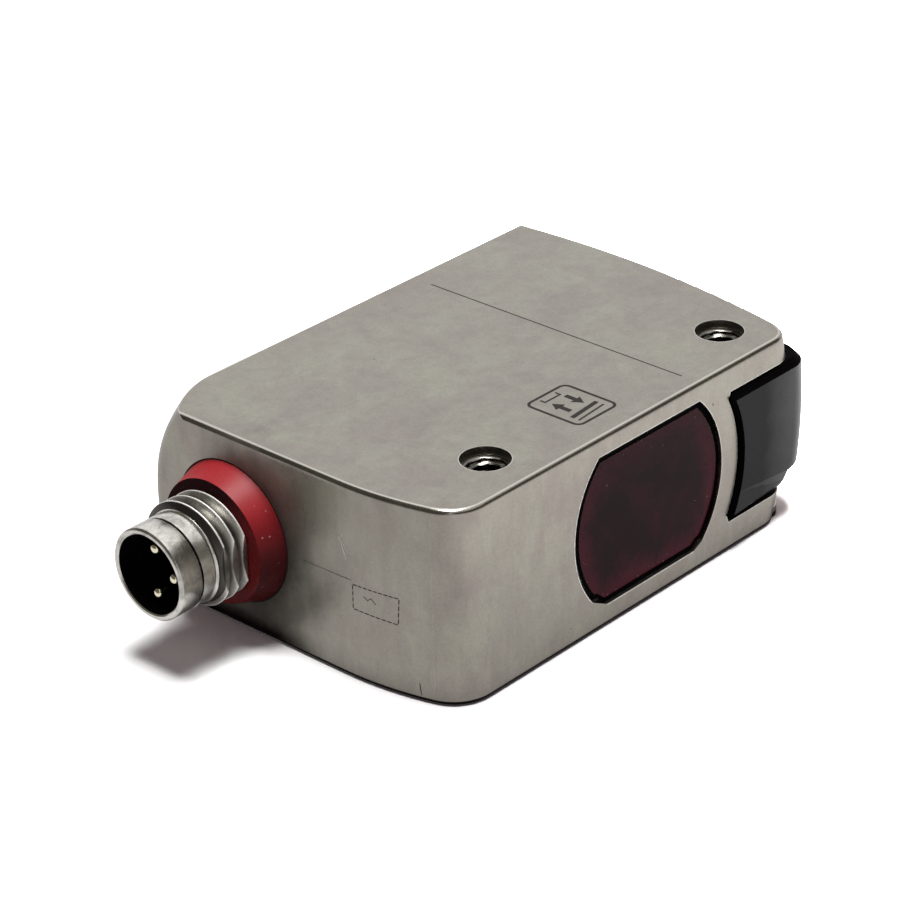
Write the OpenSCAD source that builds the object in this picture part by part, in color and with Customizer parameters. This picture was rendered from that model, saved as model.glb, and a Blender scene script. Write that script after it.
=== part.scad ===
// Miniature laser photoelectric sensor with a screw-on plug connector.
// The stainless case lies on one of its two large faces. X runs from the
// connector end to the indicator end, Y from the lens face to the back face,
// Z is up. The origin is the midpoint of the two mounting holes, on the
// bottom face.

/* [Case] */
// Height between the two large faces
body_h = 15.1; // [15:0.1:17]
// Depth from the lens face to the back face
body_w = 27.8; // [27.5:0.1:32]
// Hole line to the lens face
hole_to_front = 4.1; // [4:0.1:4.6]
// Hole to the connector face
hole_to_connector = 8.7; // [8.2:0.1:12]
// Hole to the furthest point of the bowed end
hole_to_end = 6.2; // [5.9:0.1:8]
// Thickness of the side walls
wall = 0.9; // [0.7:0.05:1.1]
// Thickness of the top face
roof = 0.8; // [0.7:0.05:1.2]
// Rounding of the outer edges
edge_r = 0.4; // [0.2:0.05:0.6]
// Bow of the indicator end, seen from above
end_bow_r = 80; // [60:1:200]
// Furthest point of that bow to the back face
end_bow_in = 8.2; // [7:0.1:12]
// Bow of the indicator end, seen from the lens side
end_roll_r = 30; // [25:1:80]
// Furthest point of that bow over the middle of the height
end_roll_up = 1.5; // [0:0.1:3]
// Corner of the lens face and the connector face
heel_r = 3.15; // [2:0.05:4]
// Radius at which the connector face runs into that corner
heel_bow_r = 26; // [20:1:60]
// Depth behind the hole line at which the connector face starts to bow
heel_start = 5.6; // [4:0.1:8]
// Corner of the lens face and the indicator end
toe_r = 2.2; // [1.8:0.1:3]
// Corners at the back face
back_r = 1.0; // [0.8:0.1:2]
// Bow of the turned shoulder at the corner behind the connector
shoulder_bow_r = 11.5; // [9:0.5:20]
// Connector axis to the centre that the shoulder is turned about
shoulder_in = 3.4; // [2:0.1:5]
// Length of the turned shoulder along X
shoulder_len = 6.5; // [5:0.1:9]
// Rounding where the shoulder meets the connector face
shoulder_edge_r = 1.5; // [1:0.1:1.8]

/* [Base plate] */
// Thickness of the welded plate that closes the case below
plate_t = 0.8; // [0.6:0.05:1.0]
// Width of the step in the wall that the plate sits on
plate_step = 0.4; // [0.3:0.05:0.5]
// Gap round the plate for the weld
weld_gap = 0.05; // [0.02:0.01:0.1]

/* [Mounting holes] */
// Distance between the two holes
hole_pitch = 25.4; // [25:0.1:26]
// Tapping bore of the M3 thread
tap_d = 2.5; // [2.4:0.05:2.6]
// Outside of the pressed-in sleeve
sleeve_d = 4.6; // [4:0.1:4.8]
// Opening in the top face over the sleeve
mouth_d = 3.6; // [3.2:0.1:3.8]
// Depth of that opening down to the sleeve
mouth_depth = 0.65; // [0.5:0.05:0.7]
// Lead-in at both ends of the thread
lead_in = 0.25; // [0.15:0.05:0.3]

/* [Lens window] */
// Hole centre to the round side of the window's opening
hole_to_window = 4.6; // [4.4:0.1:5]
// Large faces to the flats of the opening, on average
window_lip = 1.6; // [1.5:0.05:2]
// Centre of the opening over the middle of the height
window_up = 0.15; // [0:0.05:0.2]
// Centre of the opening towards the connector end
window_shift = 0.2; // [0:0.1:0.4]
// Corner cut where the flats meet the arcs
window_nip = 0.5; // [0.3:0.1:0.8]
// How far the lens sits behind the face
window_recess = 0.3; // [0.2:0.05:0.45]
// Width of the black seal round the lens
window_seal_w = 0.3; // [0.2:0.05:0.4]
// Width of the lens flange behind the wall
window_flange = 0.55; // [0.4:0.05:0.6]
// Thickness of that flange
window_flange_t = 0.8; // [0.6:0.05:1]

/* [Indicator cover] */
// Web of case between the lens window and the cover
web_w = 1.85; // [1.7:0.05:2]
// Large faces to the opening for the cover, on average
cover_lip = 2.25; // [2:0.05:2.6]
// Back face to the end of that opening
cover_end = 3.4; // [3:0.1:5]
// Length of the slanted cut across the inner corners of the opening
cover_nook = 0.6; // [0.4:0.1:1]
// How far the cover stands out of the lens face
proud_front = 0.4; // [0.3:0.05:0.7]
// How far the cover stands out of the end
proud_end = 1.5; // [1.2:0.1:2]
// Vertical corner of the cover
cover_corner_r = 2.4; // [2:0.1:3.2]
// Bevel along the cover's long edges
cover_bevel = 0.55; // [0.4:0.05:0.7]
// Bevel along its arc beside the lens
arc_bevel = 0.25; // [0.2:0.05:0.4]
// Depth of the slope under the end
under_depth = 1.5; // [1.2:0.1:2]
// Height of that slope
under_rise = 1.65; // [1.2:0.05:2]
// Wall of the cover
cover_wall = 1.2; // [1:0.05:1.3]
// Depth of the cover's seat below the case surface
seat_depth = 1.3; // [1.2:0.05:1.4]
// Width of the ledge that carries the seal
ledge_w = 1.0; // [0.9:0.05:1.2]
// Thickness of the seal behind the cover
cover_seal_t = 0.3; // [0.2:0.05:0.4]
// Gap round the cover in its opening
cover_gap = 0.1; // [0.05:0.01:0.15]

/* [Set button] */
// Diameter of the button's stem
button_d = 3.4; // [3:0.1:3.8]
// Diameter of the flange that keeps it in
button_flange_d = 4.8; // [4.4:0.1:5.2]
// Thickness of that flange
button_flange_t = 0.6; // [0.5:0.05:0.8]
// Back face to the button's axis
button_in = 10.2; // [9.5:0.1:12]
// Height of the button's tip over the cover
button_proud = 0.35; // [0.3:0.05:0.45]
// Rounding of the tip
button_round = 0.3; // [0.2:0.05:0.35]
// Diameter of the switch's plunger
plunger_d = 1.6; // [1.2:0.1:2]
// Length of that plunger
plunger_len = 1.2; // [1:0.1:1.4]
// Part of the plunger that stands in the switch
plunger_in = 0.5; // [0.4:0.05:0.6]
// Width of the switch
switch_w = 4.4; // [4:0.1:5]
// Thickness of the switch
switch_t = 1.4; // [1.2:0.1:1.6]
// Running gap round the stem and the plunger
run_gap = 0.08; // [0.05:0.01:0.1]

/* [Optics] */
// Receiver's axis from the window's centre
rx_dx = 2.6; // [2.4:0.1:2.8]
// Laser's axis from the window's centre
tx_dx = 4.9; // [4.7:0.1:5.2]
// Diameter of the receiver lens
rx_d = 9.0; // [8:0.1:9.2]
// Diameter of the laser lens
tx_d = 3.8; // [3.4:0.1:3.9]
// Thickness of the receiver lens at its edge
rx_edge = 0.9; // [0.7:0.1:1]
// Height of its dome
rx_dome = 1.2; // [1:0.1:1.4]
// Thickness of the laser lens at its edge
tx_edge = 0.8; // [0.6:0.1:1]
// Height of its dome
tx_dome = 0.6; // [0.4:0.1:0.8]
// Ledge that each lens sits on
lens_ledge = 0.5; // [0.3:0.05:0.6]
// Gap from the window to the domes
dome_gap = 2.0; // [1.5:0.1:2.4]
// Depth of the optics frame
frame_depth = 14; // [13:0.1:15]
// Outside of the laser's brass barrel
barrel_d = 5.2; // [4.8:0.1:5.4]
// Length of that barrel
barrel_len = 5; // [4:0.1:6]
// Gap from the barrel to the main board
barrel_back = 0.8; // [0.6:0.1:1]
// Inner end of the barrel
barrel_floor = 2.2; // [1.5:0.1:2.5]
// Diameter of the laser's can
can_d = 3.8; // [3.4:0.1:3.9]
// Thickness of the can's rim
can_rim = 0.9; // [0.7:0.1:1]
// Diameter of its legs
leg_d = 0.4; // [0.3:0.05:0.5]
// Circle that the legs stand on
leg_circle = 1.8; // [1.6:0.1:2]
// Width of the image sensor's package
chip_w = 6; // [4:0.1:7]
// Height of that package
chip_h = 3.6; // [3:0.1:4.5]
// Thickness of that package
chip_t = 1.2; // [0.8:0.1:1.4]

/* [Boards] */
// Thickness of the circuit boards
board_t = 0.8; // [0.6:0.1:1]
// Gap from the boards to the walls
board_gap = 0.6; // [0.4:0.1:0.8]
// Shank of the board screws
screw_d = 1.6; // [1.4:0.1:1.8]
// Length of the board screws
screw_len = 5; // [4:0.1:6]
// Screw axes from the window's centre
screw_dx = 7.4; // [7.2:0.1:7.6]
// Screw axes from the roof and the plate
screw_in = 2.2; // [2:0.1:2.4]
// Length of the indicator lamps
lamp_w = 1.6; // [1:0.1:2]
// Width of the indicator lamps
lamp_h = 0.8; // [0.6:0.1:1]
// Thickness of the indicator lamps
lamp_t = 0.6; // [0.4:0.1:0.8]
// Distance between the lamps
lamp_pitch = 3; // [2.5:0.1:3.5]
// First lamp from the hole line
lamp_y = 5; // [4.8:0.1:5.5]
// Thickness of the lead between the boards
flex_t = 0.2; // [0.1:0.05:0.3]
// Width of that lead
flex_w = 4; // [3:0.1:5]
// Inside of its bend
flex_bend = 1.2; // [0.8:0.1:1.6]

/* [Connector] */
// Back face to the connector axis
conn_in = 7.7; // [7.5:0.1:9]
// Outside of the coupling thread
thread_d = 8.0; // [7.9:0.01:8.1]
// Length of the coupling thread
thread_len = 2.7; // [2.2:0.1:3.2]
// Flat on the thread, from the axis
thread_flat = 3.55; // [3.45:0.05:3.7]
// Outside of the plain nose
nose_d = 6.85; // [6.6:0.05:7]
// Connector face to the rim of the nose
nose_reach = 8.05; // [7.5:0.05:9]
// Bevel at that rim
rim_bevel = 0.1; // [0.05:0.05:0.2]
// Connector face to the groove round the nose
groove_at = 5.75; // [5.4:0.05:6]
// Width of that groove
groove_w = 0.2; // [0.1:0.05:0.3]
// Depth of that groove
groove_depth = 0.18; // [0.1:0.02:0.2]
// Bore of the nose
nose_bore = 5.95; // [5.8:0.05:6]
// Depth of the insert's face inside the nose
insert_depth = 4.5; // [4:0.1:5]
// Diameter of the contact pins
pin_d = 0.8; // [0.7:0.05:1]
// Circle that the contact pins stand on
pin_circle = 3.5; // [3.2:0.05:3.7]
// How far the pin tips lie inside the rim
pin_inset = 0.85; // [0.5:0.05:1.5]
// Collar diameter at the case
collar_d = 10.6; // [10:0.1:11]
// Collar diameter at its front
collar_front_d = 9.4; // [9:0.1:10]
// Length of the collar
collar_len = 1.95; // [1.7:0.05:2.2]
// Thickness of the collar's front, round the neck
collar_front_t = 0.3; // [0.2:0.05:0.4]
// Neck of the connector inside the collar and the wall
neck_d = 6.8; // [6.7:0.05:6.9]
// Section of the O-ring round the neck
oring_t = 0.84; // [0.7:0.02:0.9]
// Width across the flats of the nut inside
nut_af = 9; // [8.6:0.1:9.4]
// Thickness of that nut
nut_t = 1.6; // [1.4:0.1:2]
// Part of the neck that stands out of the nut
neck_out = 0.5; // [0.4:0.1:0.8]
// Width of the connector board
cboard_w = 8; // [7:0.1:9]

/* [Hidden] */
$fn = 72;
// Gap of parts that are pressed or glued together
fit = 0.03;
// Overlap that keeps a cut from being just tangent or flush
hair = 0.005;
// Longer than anything in the part
far = 60;
hole_x = hole_pitch / 2;
front_y = -hole_to_front;
back_y = front_y + body_w;
conn_x = -hole_x - hole_to_connector;
end_x = hole_x + hole_to_end;
length = end_x - conn_x;
conn_y = back_y - conn_in;
conn_z = body_h / 2;
end_c = [end_x - end_bow_r, back_y - end_bow_in];
roll_c = [end_x - end_roll_r, body_h / 2 + end_roll_up];
heel_big = [conn_x + heel_bow_r, heel_start];
// Distance of the rounded back edge from the connector axis
shoulder_r = norm([conn_in + shoulder_in - edge_r, conn_z - edge_r]) + edge_r;
shoulder_x = conn_x + shoulder_len;
plate_in = wall - plate_step;
roof_z = body_h - roof;
win_x = -window_shift;
win_z = body_h / 2 + window_up;
win_r = hole_x - hole_to_window;
win_h = body_h / 2 - window_lip;
cover_arc = win_r + web_w;
cover_h = body_h - 2 * cover_lip;
cover_back = back_y - cover_end;
cover_bow = end_bow_r + proud_end;
cover_front = front_y - proud_front;
// The walls are this thick where the cover is seated
seat_wall = seat_depth + wall;
flange_y = front_y + wall;
frame_y = flange_y + window_flange_t;
board_y = frame_y + frame_depth;
rx_x = win_x + rx_dx;
tx_x = win_x - tx_dx;
rx_y = frame_y + dome_gap + rx_dome + rx_edge;
tx_y = frame_y + dome_gap + tx_dome + tx_edge;
barrel_y = board_y - barrel_back - barrel_len;
button_y = back_y - button_in;
// Depth of the cover's inside behind the button, at the flange's low side
button_seat = end_c[0] + sqrt(pow(cover_bow - cover_wall, 2)
    - pow(abs(button_y - end_c[1]) + button_flange_d / 2, 2)) - run_gap;
button_back = button_seat - button_flange_t;
iboard_x = button_back - plunger_len + plunger_in - switch_t;
iboard_back = iboard_x - board_t;
rim_x = conn_x - nose_reach;
thread_x = conn_x - collar_len;
insert_x = rim_x + insert_depth;
nut_x = conn_x + wall;
neck_end = nut_x + nut_t + neck_out;
cboard_x = neck_end + neck_out;

// Centre of a corner of radius r that runs into an arc and into the line y

function corner_on_arc(big, big_r, r, y_line, out, sx) =
    let (cy = y_line - out * r)
    [big[0] + sx * sqrt(pow(big_r - r, 2) - pow(cy - big[1], 2)), cy];

function unit(v) = v / norm(v);

// What rounding a corner takes away, between the directions d1 and d2

module corner_cut(c, r, d1, d2) {
    reach = 6 * r;
    difference() {
        polygon([c, c + reach * d1, c + reach * (d1 + d2), c + reach * d2]);
        translate(c) circle(r = r);
    }
}

function heel_c() = corner_on_arc(heel_big, heel_bow_r, heel_r, front_y, -1, -1);

function back_c() = [conn_x + back_r, back_y - back_r];

// Corners of the indicator end at the front and the back, for a given bow

function toe_c(bow, y, r) = corner_on_arc(end_c, bow, r, y, -1, 1);

function tail_c() = corner_on_arc(end_c, end_bow_r, back_r, back_y, 1, 1);

// Outline of the case seen from above, moved inwards by inset

module plan(inset = 0, out_end = 0, out_front = 0, toe = toe_r) {
    bow = end_bow_r + out_end;
    y0 = front_y - out_front;
    toe_p = toe_c(bow, y0, toe);
    small_r = max(back_r - inset, 0.1 * back_r);
    toe_in = max(toe - inset, 0.1 * toe);
    intersection() {
        difference() {
            translate([conn_x + inset, y0 + inset])
                square([length + out_end - 2 * inset, back_y - y0 - 2 * inset]);
            corner_cut(heel_c(), heel_r - inset, [0, -1], unit(heel_c() - heel_big));
            corner_cut(toe_p, toe_in, [0, -1], unit(toe_p - end_c));
            corner_cut(tail_c(), small_r, [0, 1], unit(tail_c() - end_c));
            corner_cut(back_c(), small_r, [0, 1], [-1, 0]);
        }
        translate(end_c) circle(r = bow - inset, $fn = 540);
        union() {
            translate([conn_x, heel_start]) square([far, far]);
            translate(heel_big) circle(r = heel_bow_r - inset, $fn = 240);
        }
    }
}

// Rectangle with round corners, and the disc that half of it makes

module round_rect(x0, x1, y0, y1, r) {
    translate([x0 + r, y0]) square([x1 - x0 - 2 * r, y1 - y0]);
    translate([x0, y0 + r]) square([x1 - x0, y1 - y0 - 2 * r]);
    for (x = [x0 + r, x1 - r], y = [y0 + r, y1 - r])
        translate([x, y]) circle(r = r, $fn = 48);
}

module round_disc(c, r, sides) {
    translate(c)
        rotate_extrude($fn = sides)
            intersection() {
                square([r, body_h]);
                round_rect(-r, r, 0, body_h, edge_r);
            }
}

// Half section of the indicator end about the centre of its bow

module end_section(bow, z0, z1) {
    roll = bow - (end_bow_r - end_roll_r);
    hub = bow - roll;
    translate([0, z0]) square([hub, z1 - z0]);
    intersection() {
        translate([0, z0]) square([bow, z1 - z0]);
        translate([hub, roll_c[1]]) circle(r = roll, $fn = 360);
    }
}

// The disc reaches a hair past both large faces, so that they are never flush

module end_disc() {
    hub = [end_bow_r - end_roll_r, roll_c[1]];
    z0 = -hair;
    z1 = body_h + hair;
    translate(end_c)
        rotate_extrude($fn = 540)
            difference() {
                end_section(end_bow_r, z0, z1);
                for (s = [-1, 1]) {
                    v = s > 0 ? z1 - edge_r : z0 + edge_r;
                    c = hub + [sqrt(pow(end_roll_r - edge_r, 2) - pow(v - hub[1], 2)), v - hub[1]];
                    corner_cut(c, edge_r, [0, s], unit(c - hub));
                }
            }
}

// Rounds a vertical corner of the indicator end all along its rolled face

module roll_trim(c, r, d1, d2) {
    translate([roll_c[0], 0, roll_c[1]])
        rotate([-90, 0, 0])
            rotate_extrude($fn = 360)
                translate([-roll_c[0], 0]) corner_cut(c, r - hair, d1, d2);
}

// What is cut off the upper or lower rim of such a corner: the children, in
// radius and height, turned about the corner, which leans in at the height z

module rim_cut(c, d1, d2, z, out_end) {
    roll = end_roll_r + out_end;
    lean = roll - sqrt(pow(roll, 2) - pow(z - roll_c[1], 2));
    reach = 6 * toe_r;
    translate([-lean, 0, 0])
        intersection() {
            translate([0, 0, z - toe_r])
                linear_extrude(2 * toe_r)
                    polygon([c, c + reach * d1, c + reach * (d1 + d2), c + reach * d2]);
            translate(c) rotate_extrude() children();
        }
}

// What turning the shoulder about its own centre takes off the case

module shoulder_cut(inset) {
    big = [shoulder_r - shoulder_bow_r, shoulder_x];
    big_r = shoulder_bow_r - inset;
    r = shoulder_edge_r;
    // A hair outside the connector face, so that the two are never flush
    foot = conn_x + inset - hair;
    c = [big[0] + sqrt(pow(big_r - r, 2) - pow(foot + r - shoulder_x, 2)), foot + r];
    intersection() {
        translate([0, conn_y - shoulder_in, conn_z])
            rotate([0, 90, 0])
                rotate_extrude($fn = 120)
                    difference() {
                        translate([c[0], conn_x - 1]) square([body_h, shoulder_len + 1 - edge_r]);
                        difference() {
                            translate(big) circle(r = big_r, $fn = 240);
                            corner_cut(c, r, [0, -1], unit(c - big));
                        }
                    }
        translate([conn_x - 2, conn_y, -1]) cube([far, far, body_h + 2]);
    }
}

module block(inset, z0, z1) {
    difference() {
        translate([0, 0, z0]) linear_extrude(z1 - z0) plan(inset);
        shoulder_cut(inset);
    }
}

module corner_trim(c, r, d1, d2) {
    reach = 6 * r;
    difference() {
        translate([0, 0, -1])
            linear_extrude(body_h + 2)
                polygon([c, c + reach * d1, c + reach * (d1 + d2), c + reach * d2]);
        round_disc(c, r - hair, 72);
    }
}

// Solid outer form of the case with its edges rounded

module skin() {
    toe_p = toe_c(end_bow_r, front_y, toe_r);
    difference() {
        intersection() {
            translate([conn_x - 1, 0, 0])
                rotate([90, 0, 90])
                    linear_extrude(far) round_rect(front_y, back_y, 0, body_h, edge_r);
            end_disc();
            union() {
                translate([0, back_y + 1, 0])
                    rotate([90, 0, 0])
                        linear_extrude(back_y + 1 - heel_start)
                            round_rect(conn_x, conn_x + far, 0, body_h, edge_r);
                intersection() {
                    round_disc(heel_big, heel_bow_r, 240);
                    translate([conn_x - 1, heel_start - far, -1])
                        cube([far, far, body_h + 2]);
                }
            }
        }
        shoulder_cut(0);
        corner_trim(heel_c(), heel_r, [0, -1], unit(heel_c() - heel_big));
        roll_trim(toe_p, toe_r, [0, -1], unit(toe_p - end_c));
        roll_trim(tail_c(), back_r, [0, 1], unit(tail_c() - end_c));
        for (s = [-1, 1]) {
            z = s > 0 ? body_h : 0;
            rim_cut(toe_p, [0, -1], unit(toe_p - end_c), z, 0)
                corner_cut([toe_r - edge_r, z - s * edge_r], edge_r, [1, 0], [0, s]);
        }
    }
}

// Lens window outline: a circle with two flats, drawn in X and Z

module window_outline(grow = 0) {
    r = win_r + grow;
    h = win_h + grow;
    half = sqrt(r * r - h * h);
    n = window_nip;
    intersection() {
        circle(r = r, $fn = 180);
        polygon([[-r, -h + n * 1.6], [-half - n * 0.2, -h + n * 1.6],
            [-half + n * 1.6, -h], [half - n, -h], [half + n * 0.4, -h + n],
            [r, -h + n], [r, h], [-r, h]]);
    }
}

module along_y(y0, y1) {
    translate([win_x, y1, win_z])
        rotate([90, 0, 0]) linear_extrude(y1 - y0) children();
}

module window_axis(y0, h, r1, r2) {
    translate([win_x, y0, win_z])
        rotate([-90, 0, 0]) cylinder(h = h, r1 = r1, r2 = r2, $fn = 180);
}

module x_rod(x0, x1, y, z, r) {
    translate([x0, y, z]) rotate([0, 90, 0]) cylinder(h = x1 - x0, r = r);
}

module y_rod(y0, y1, x, z, r, r2 = -1) {
    translate([x, y0, z]) rotate([-90, 0, 0])
        cylinder(h = y1 - y0, r1 = r, r2 = r2 < 0 ? r : r2);
}

// Left side of the indicator cover's opening, in X and Z, moved in by m: the
// arc round the window and the rounding of both corners

module cover_side(m) {
    r = cover_arc + m;
    h = cover_h / 2 - m;
    n = cover_nook - m;
    circle(r = r, $fn = 180);
    if (n > 0)
        for (s = [-1, 1]) {
            on_arc = [sqrt(pow(r, 2) - pow(h - n, 2)), s * (h - n)];
            on_lip = [sqrt(pow(r, 2) - pow(h, 2)) + n, s * h];
            past = (on_lip - on_arc) / 2;
            polygon([on_arc - past, on_lip + past, [on_lip[0] + past[0], s * far], [0, s * far],
                [0, on_arc[1] - past[1]]]);
        }
}

// Space of that opening, shrunk by m on every side

module cover_space(m) {
    along_y(front_y - far / 2, cover_back - m)
        difference() {
            translate([0, m - cover_h / 2]) square([far, cover_h - 2 * m]);
            cover_side(m);
        }
}

// Everything inside the case surface moved in by inset

module inside(inset) {
    translate([0, 0, -1]) linear_extrude(body_h + 2) plan(inset);
}

module each_hole() {
    for (sx = [-1, 1]) translate([sx * hole_x, 0, 0]) children();
}

module case_cavity() {
    block(seat_wall, plate_t, roof_z);
    // Behind the lens face the wall is thin up to the arc of the cover
    intersection() {
        block(wall, plate_t, roof_z);
        union() {
            translate([conn_x, front_y, 0]) cube([win_x - conn_x, body_w, body_h]);
            window_axis(front_y, seat_wall + 1, cover_arc - wall, cover_arc - wall);
            translate([win_x, front_y + seat_wall, 0])
                cube([hole_x + mouth_d / 2 - win_x, body_w, body_h]);
        }
    }
}

module sleeve_bore(gap) {
    translate([0, 0, -1])
        cylinder(h = body_h - mouth_depth + 1, d = sleeve_d + 2 * gap);
}

module housing() {
    color([0.62, 0.61, 0.57])
        difference() {
            skin();
            case_cavity();
            block(plate_in, -1, plate_t);
            along_y(front_y - 1, front_y + wall + 1) window_outline();
            difference() {
                cover_space(0);
                inside(seat_depth);
            }
            intersection() {
                cover_space(ledge_w);
                inside(seat_depth - hair);
                translate([0, front_y, 0]) cube([far, body_w, body_h]);
            }
            each_hole() {
                sleeve_bore(fit);
                translate([0, 0, body_h / 2]) cylinder(h = body_h, d = mouth_d);
            }
            x_rod(conn_x - 1, nut_x + 1, conn_y, conn_z, neck_d / 2 + fit);
        }
}

// Plate that is welded into the step at the bottom

module base_plate() {
    color([0.6, 0.6, 0.57])
        difference() {
            block(plate_in + weld_gap, 0, plate_t);
            each_hole() sleeve_bore(fit);
        }
}

module sleeve() {
    h = body_h - mouth_depth;
    difference() {
        cylinder(h = h, d = sleeve_d);
        translate([0, 0, -1]) cylinder(h = h + 2, d = tap_d);
        for (z = [0, h])
            translate([0, 0, z]) mirror([0, 0, z > 0 ? 1 : 0])
                translate([0, 0, -hair])
                    cylinder(h = lead_in, d1 = tap_d + 2 * lead_in, d2 = tap_d);
    }
}

module sleeve_connector_end() {
    color([0.7, 0.7, 0.68]) translate([-hole_x, 0, 0]) sleeve();
}

module sleeve_indicator_end() {
    color([0.7, 0.7, 0.68]) translate([hole_x, 0, 0]) sleeve();
}

// Red filter window with its flange behind the wall

module lens_window() {
    color([0.3, 0.06, 0.1]) {
        along_y(front_y + window_recess, flange_y + hair) window_outline(-window_seal_w);
        along_y(flange_y, frame_y) window_outline(window_flange);
    }
}

module window_seal() {
    color([0.06, 0.05, 0.05])
        along_y(front_y + window_recess + fit, flange_y)
            difference() {
                window_outline(0);
                window_outline(-window_seal_w);
            }
}

// Moulded frame that holds both light paths, pressed between roof and plate

module optics_frame() {
    x0 = win_x - win_r - window_flange - wall / 2;
    x1 = win_x + win_r + window_flange;
    y0 = front_y + seat_wall;
    color([0.1, 0.1, 0.1])
        difference() {
            union() {
                translate([x0, y0, plate_t])
                    cube([x1 - x0, board_y - y0, roof_z - plate_t]);
                along_y(frame_y, y0 + hair) window_outline(0);
            }
            // Receiver: lens seat, tapering chamber, pocket for the sensor
            y_rod(frame_y - 1, rx_y, rx_x, win_z, rx_d / 2 + fit);
            y_rod(rx_y - hair, board_y - chip_t, rx_x, win_z, rx_d / 2 - lens_ledge,
                chip_h / 2);
            translate([rx_x - chip_w / 2 - fit, board_y - chip_t - fit,
                win_z - chip_h / 2 - fit])
                cube([chip_w + 2 * fit, chip_t + 1, chip_h + 2 * fit]);
            // Laser: lens seat, bore, barrel from behind
            y_rod(frame_y - 1, tx_y, tx_x, win_z, tx_d / 2 + fit);
            y_rod(tx_y - hair, barrel_y + hair, tx_x, win_z, tx_d / 2 - lens_ledge);
            y_rod(barrel_y, board_y + 1, tx_x, win_z, barrel_d / 2 + fit);
            screw_places(board_y - screw_len, board_y + 1, screw_d / 2 + fit);
        }
}

module screw_places(y0, y1, r) {
    y_rod(y0, y1, win_x - screw_dx, plate_t + screw_in, r);
    y_rod(y0, y1, win_x + screw_dx, roof_z - screw_in, r);
}

// Flat back, domed front towards the window

module domed_lens(d, edge, dome) {
    ball = (d * d / 4 + dome * dome) / (2 * dome);
    rotate_extrude($fn = 96)
        intersection() {
            square([d / 2, edge + dome]);
            translate([0, edge + dome - ball]) circle(r = ball, $fn = 240);
        }
}

module receiver_lens() {
    color([0.85, 0.85, 0.9])
        translate([rx_x, rx_y, win_z]) rotate([90, 0, 0]) domed_lens(rx_d, rx_edge, rx_dome);
}

module laser_lens() {
    color([0.85, 0.85, 0.9])
        translate([tx_x, tx_y, win_z]) rotate([90, 0, 0]) domed_lens(tx_d, tx_edge, tx_dome);
}

module laser_barrel() {
    color([0.75, 0.62, 0.3])
        difference() {
            y_rod(barrel_y, barrel_y + barrel_len, tx_x, win_z, barrel_d / 2);
            y_rod(barrel_y - 1, board_y, tx_x, win_z, tx_d / 2 - 2 * lens_ledge);
            y_rod(barrel_y + barrel_floor, board_y, tx_x, win_z, can_d / 2 + fit);
        }
}

module laser_diode() {
    back = barrel_y + barrel_len;
    color([0.8, 0.68, 0.35]) {
        y_rod(back - can_rim, back, tx_x, win_z, can_d / 2);
        y_rod(barrel_y + barrel_floor, back - can_rim + hair, tx_x, win_z, can_d / 2 - 0.15 * can_d);
        for (a = [0, 120, 240])
            y_rod(back - hair, board_y, tx_x + leg_circle / 2 * cos(a),
                win_z + leg_circle / 2 * sin(a), leg_d / 2);
    }
}

module image_sensor() {
    color([0.15, 0.15, 0.18])
        translate([rx_x - chip_w / 2, board_y - chip_t, win_z - chip_h / 2])
            cube([chip_w, chip_t, chip_h]);
}

// Board across the back of the frame, with a tab to the indicator board

module main_board() {
    z0 = plate_t + board_gap;
    x0 = cboard_x + board_t + flex_t + flex_bend + board_gap;
    x1 = win_x + win_r + window_flange + 2 * board_gap;
    tab_h = cover_h - 2 * ledge_w - 2 * board_gap;
    color([0.1, 0.32, 0.18])
        difference() {
            union() {
                translate([x0, board_y, z0])
                    cube([x1 - x0, board_t, roof_z - board_gap - z0]);
                translate([x0, board_y, win_z - tab_h / 2])
                    cube([iboard_back - x0, board_t, tab_h]);
            }
            screw_places(board_y - 1, board_y + board_t + 1, screw_d / 2 + 2 * fit);
        }
}

module board_screws() {
    head_y = board_y + board_t;
    color([0.75, 0.75, 0.75]) {
        screw_places(board_y - screw_len + fit, head_y + hair, screw_d / 2);
        screw_places(head_y, head_y + screw_d / 2, screw_d * 0.85);
    }
}

// Small board behind the cover with the lamps and the switch

module indicator_board() {
    y0 = lamp_y - lamp_w - board_gap / 2;
    y1 = cover_back - ledge_w - board_gap;
    h = cover_h - 2 * ledge_w - board_gap;
    color([0.1, 0.32, 0.18])
        translate([iboard_back, y0, win_z - h / 2]) cube([board_t, y1 - y0, h]);
}

module lamp_places(grow) {
    for (i = [0, 1])
        translate([iboard_x - grow, lamp_y + i * lamp_pitch - lamp_w / 2 - grow,
            win_z - lamp_h / 2 - grow])
            cube([lamp_t + 2 * grow, lamp_w + 2 * grow, lamp_h + 2 * grow]);
}

module indicator_leds() {
    color([0.95, 0.85, 0.5]) lamp_places(0);
}

// Clear block from the lamps to the inside of the cover

module light_guide() {
    margin = lamp_w / 2;
    color([0.85, 0.9, 0.95])
        difference() {
            intersection() {
                translate([iboard_x, lamp_y - lamp_w / 2 - margin, win_z - lamp_h - margin])
                    cube([far, lamp_pitch + lamp_w + 2 * margin, 2 * lamp_h + 2 * margin]);
                translate([0, 0, -1]) linear_extrude(body_h + 2)
                    plan(cover_wall + fit, proud_end, proud_front, cover_corner_r);
            }
            lamp_places(fit);
        }
}

module tact_switch() {
    color([0.2, 0.2, 0.2])
        difference() {
            translate([iboard_x, button_y - switch_w / 2, win_z - switch_w / 2])
                cube([switch_t, switch_w, switch_w]);
            x_rod(iboard_x + switch_t - 2 * plunger_in, iboard_x + switch_t + 1, button_y, win_z,
                plunger_d / 2 + run_gap);
        }
}

module switch_plunger() {
    color([0.85, 0.8, 0.7])
        x_rod(button_back - plunger_len, button_back, button_y, win_z, plunger_d / 2);
}

// Button: stem through the cover, flange inside it

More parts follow.
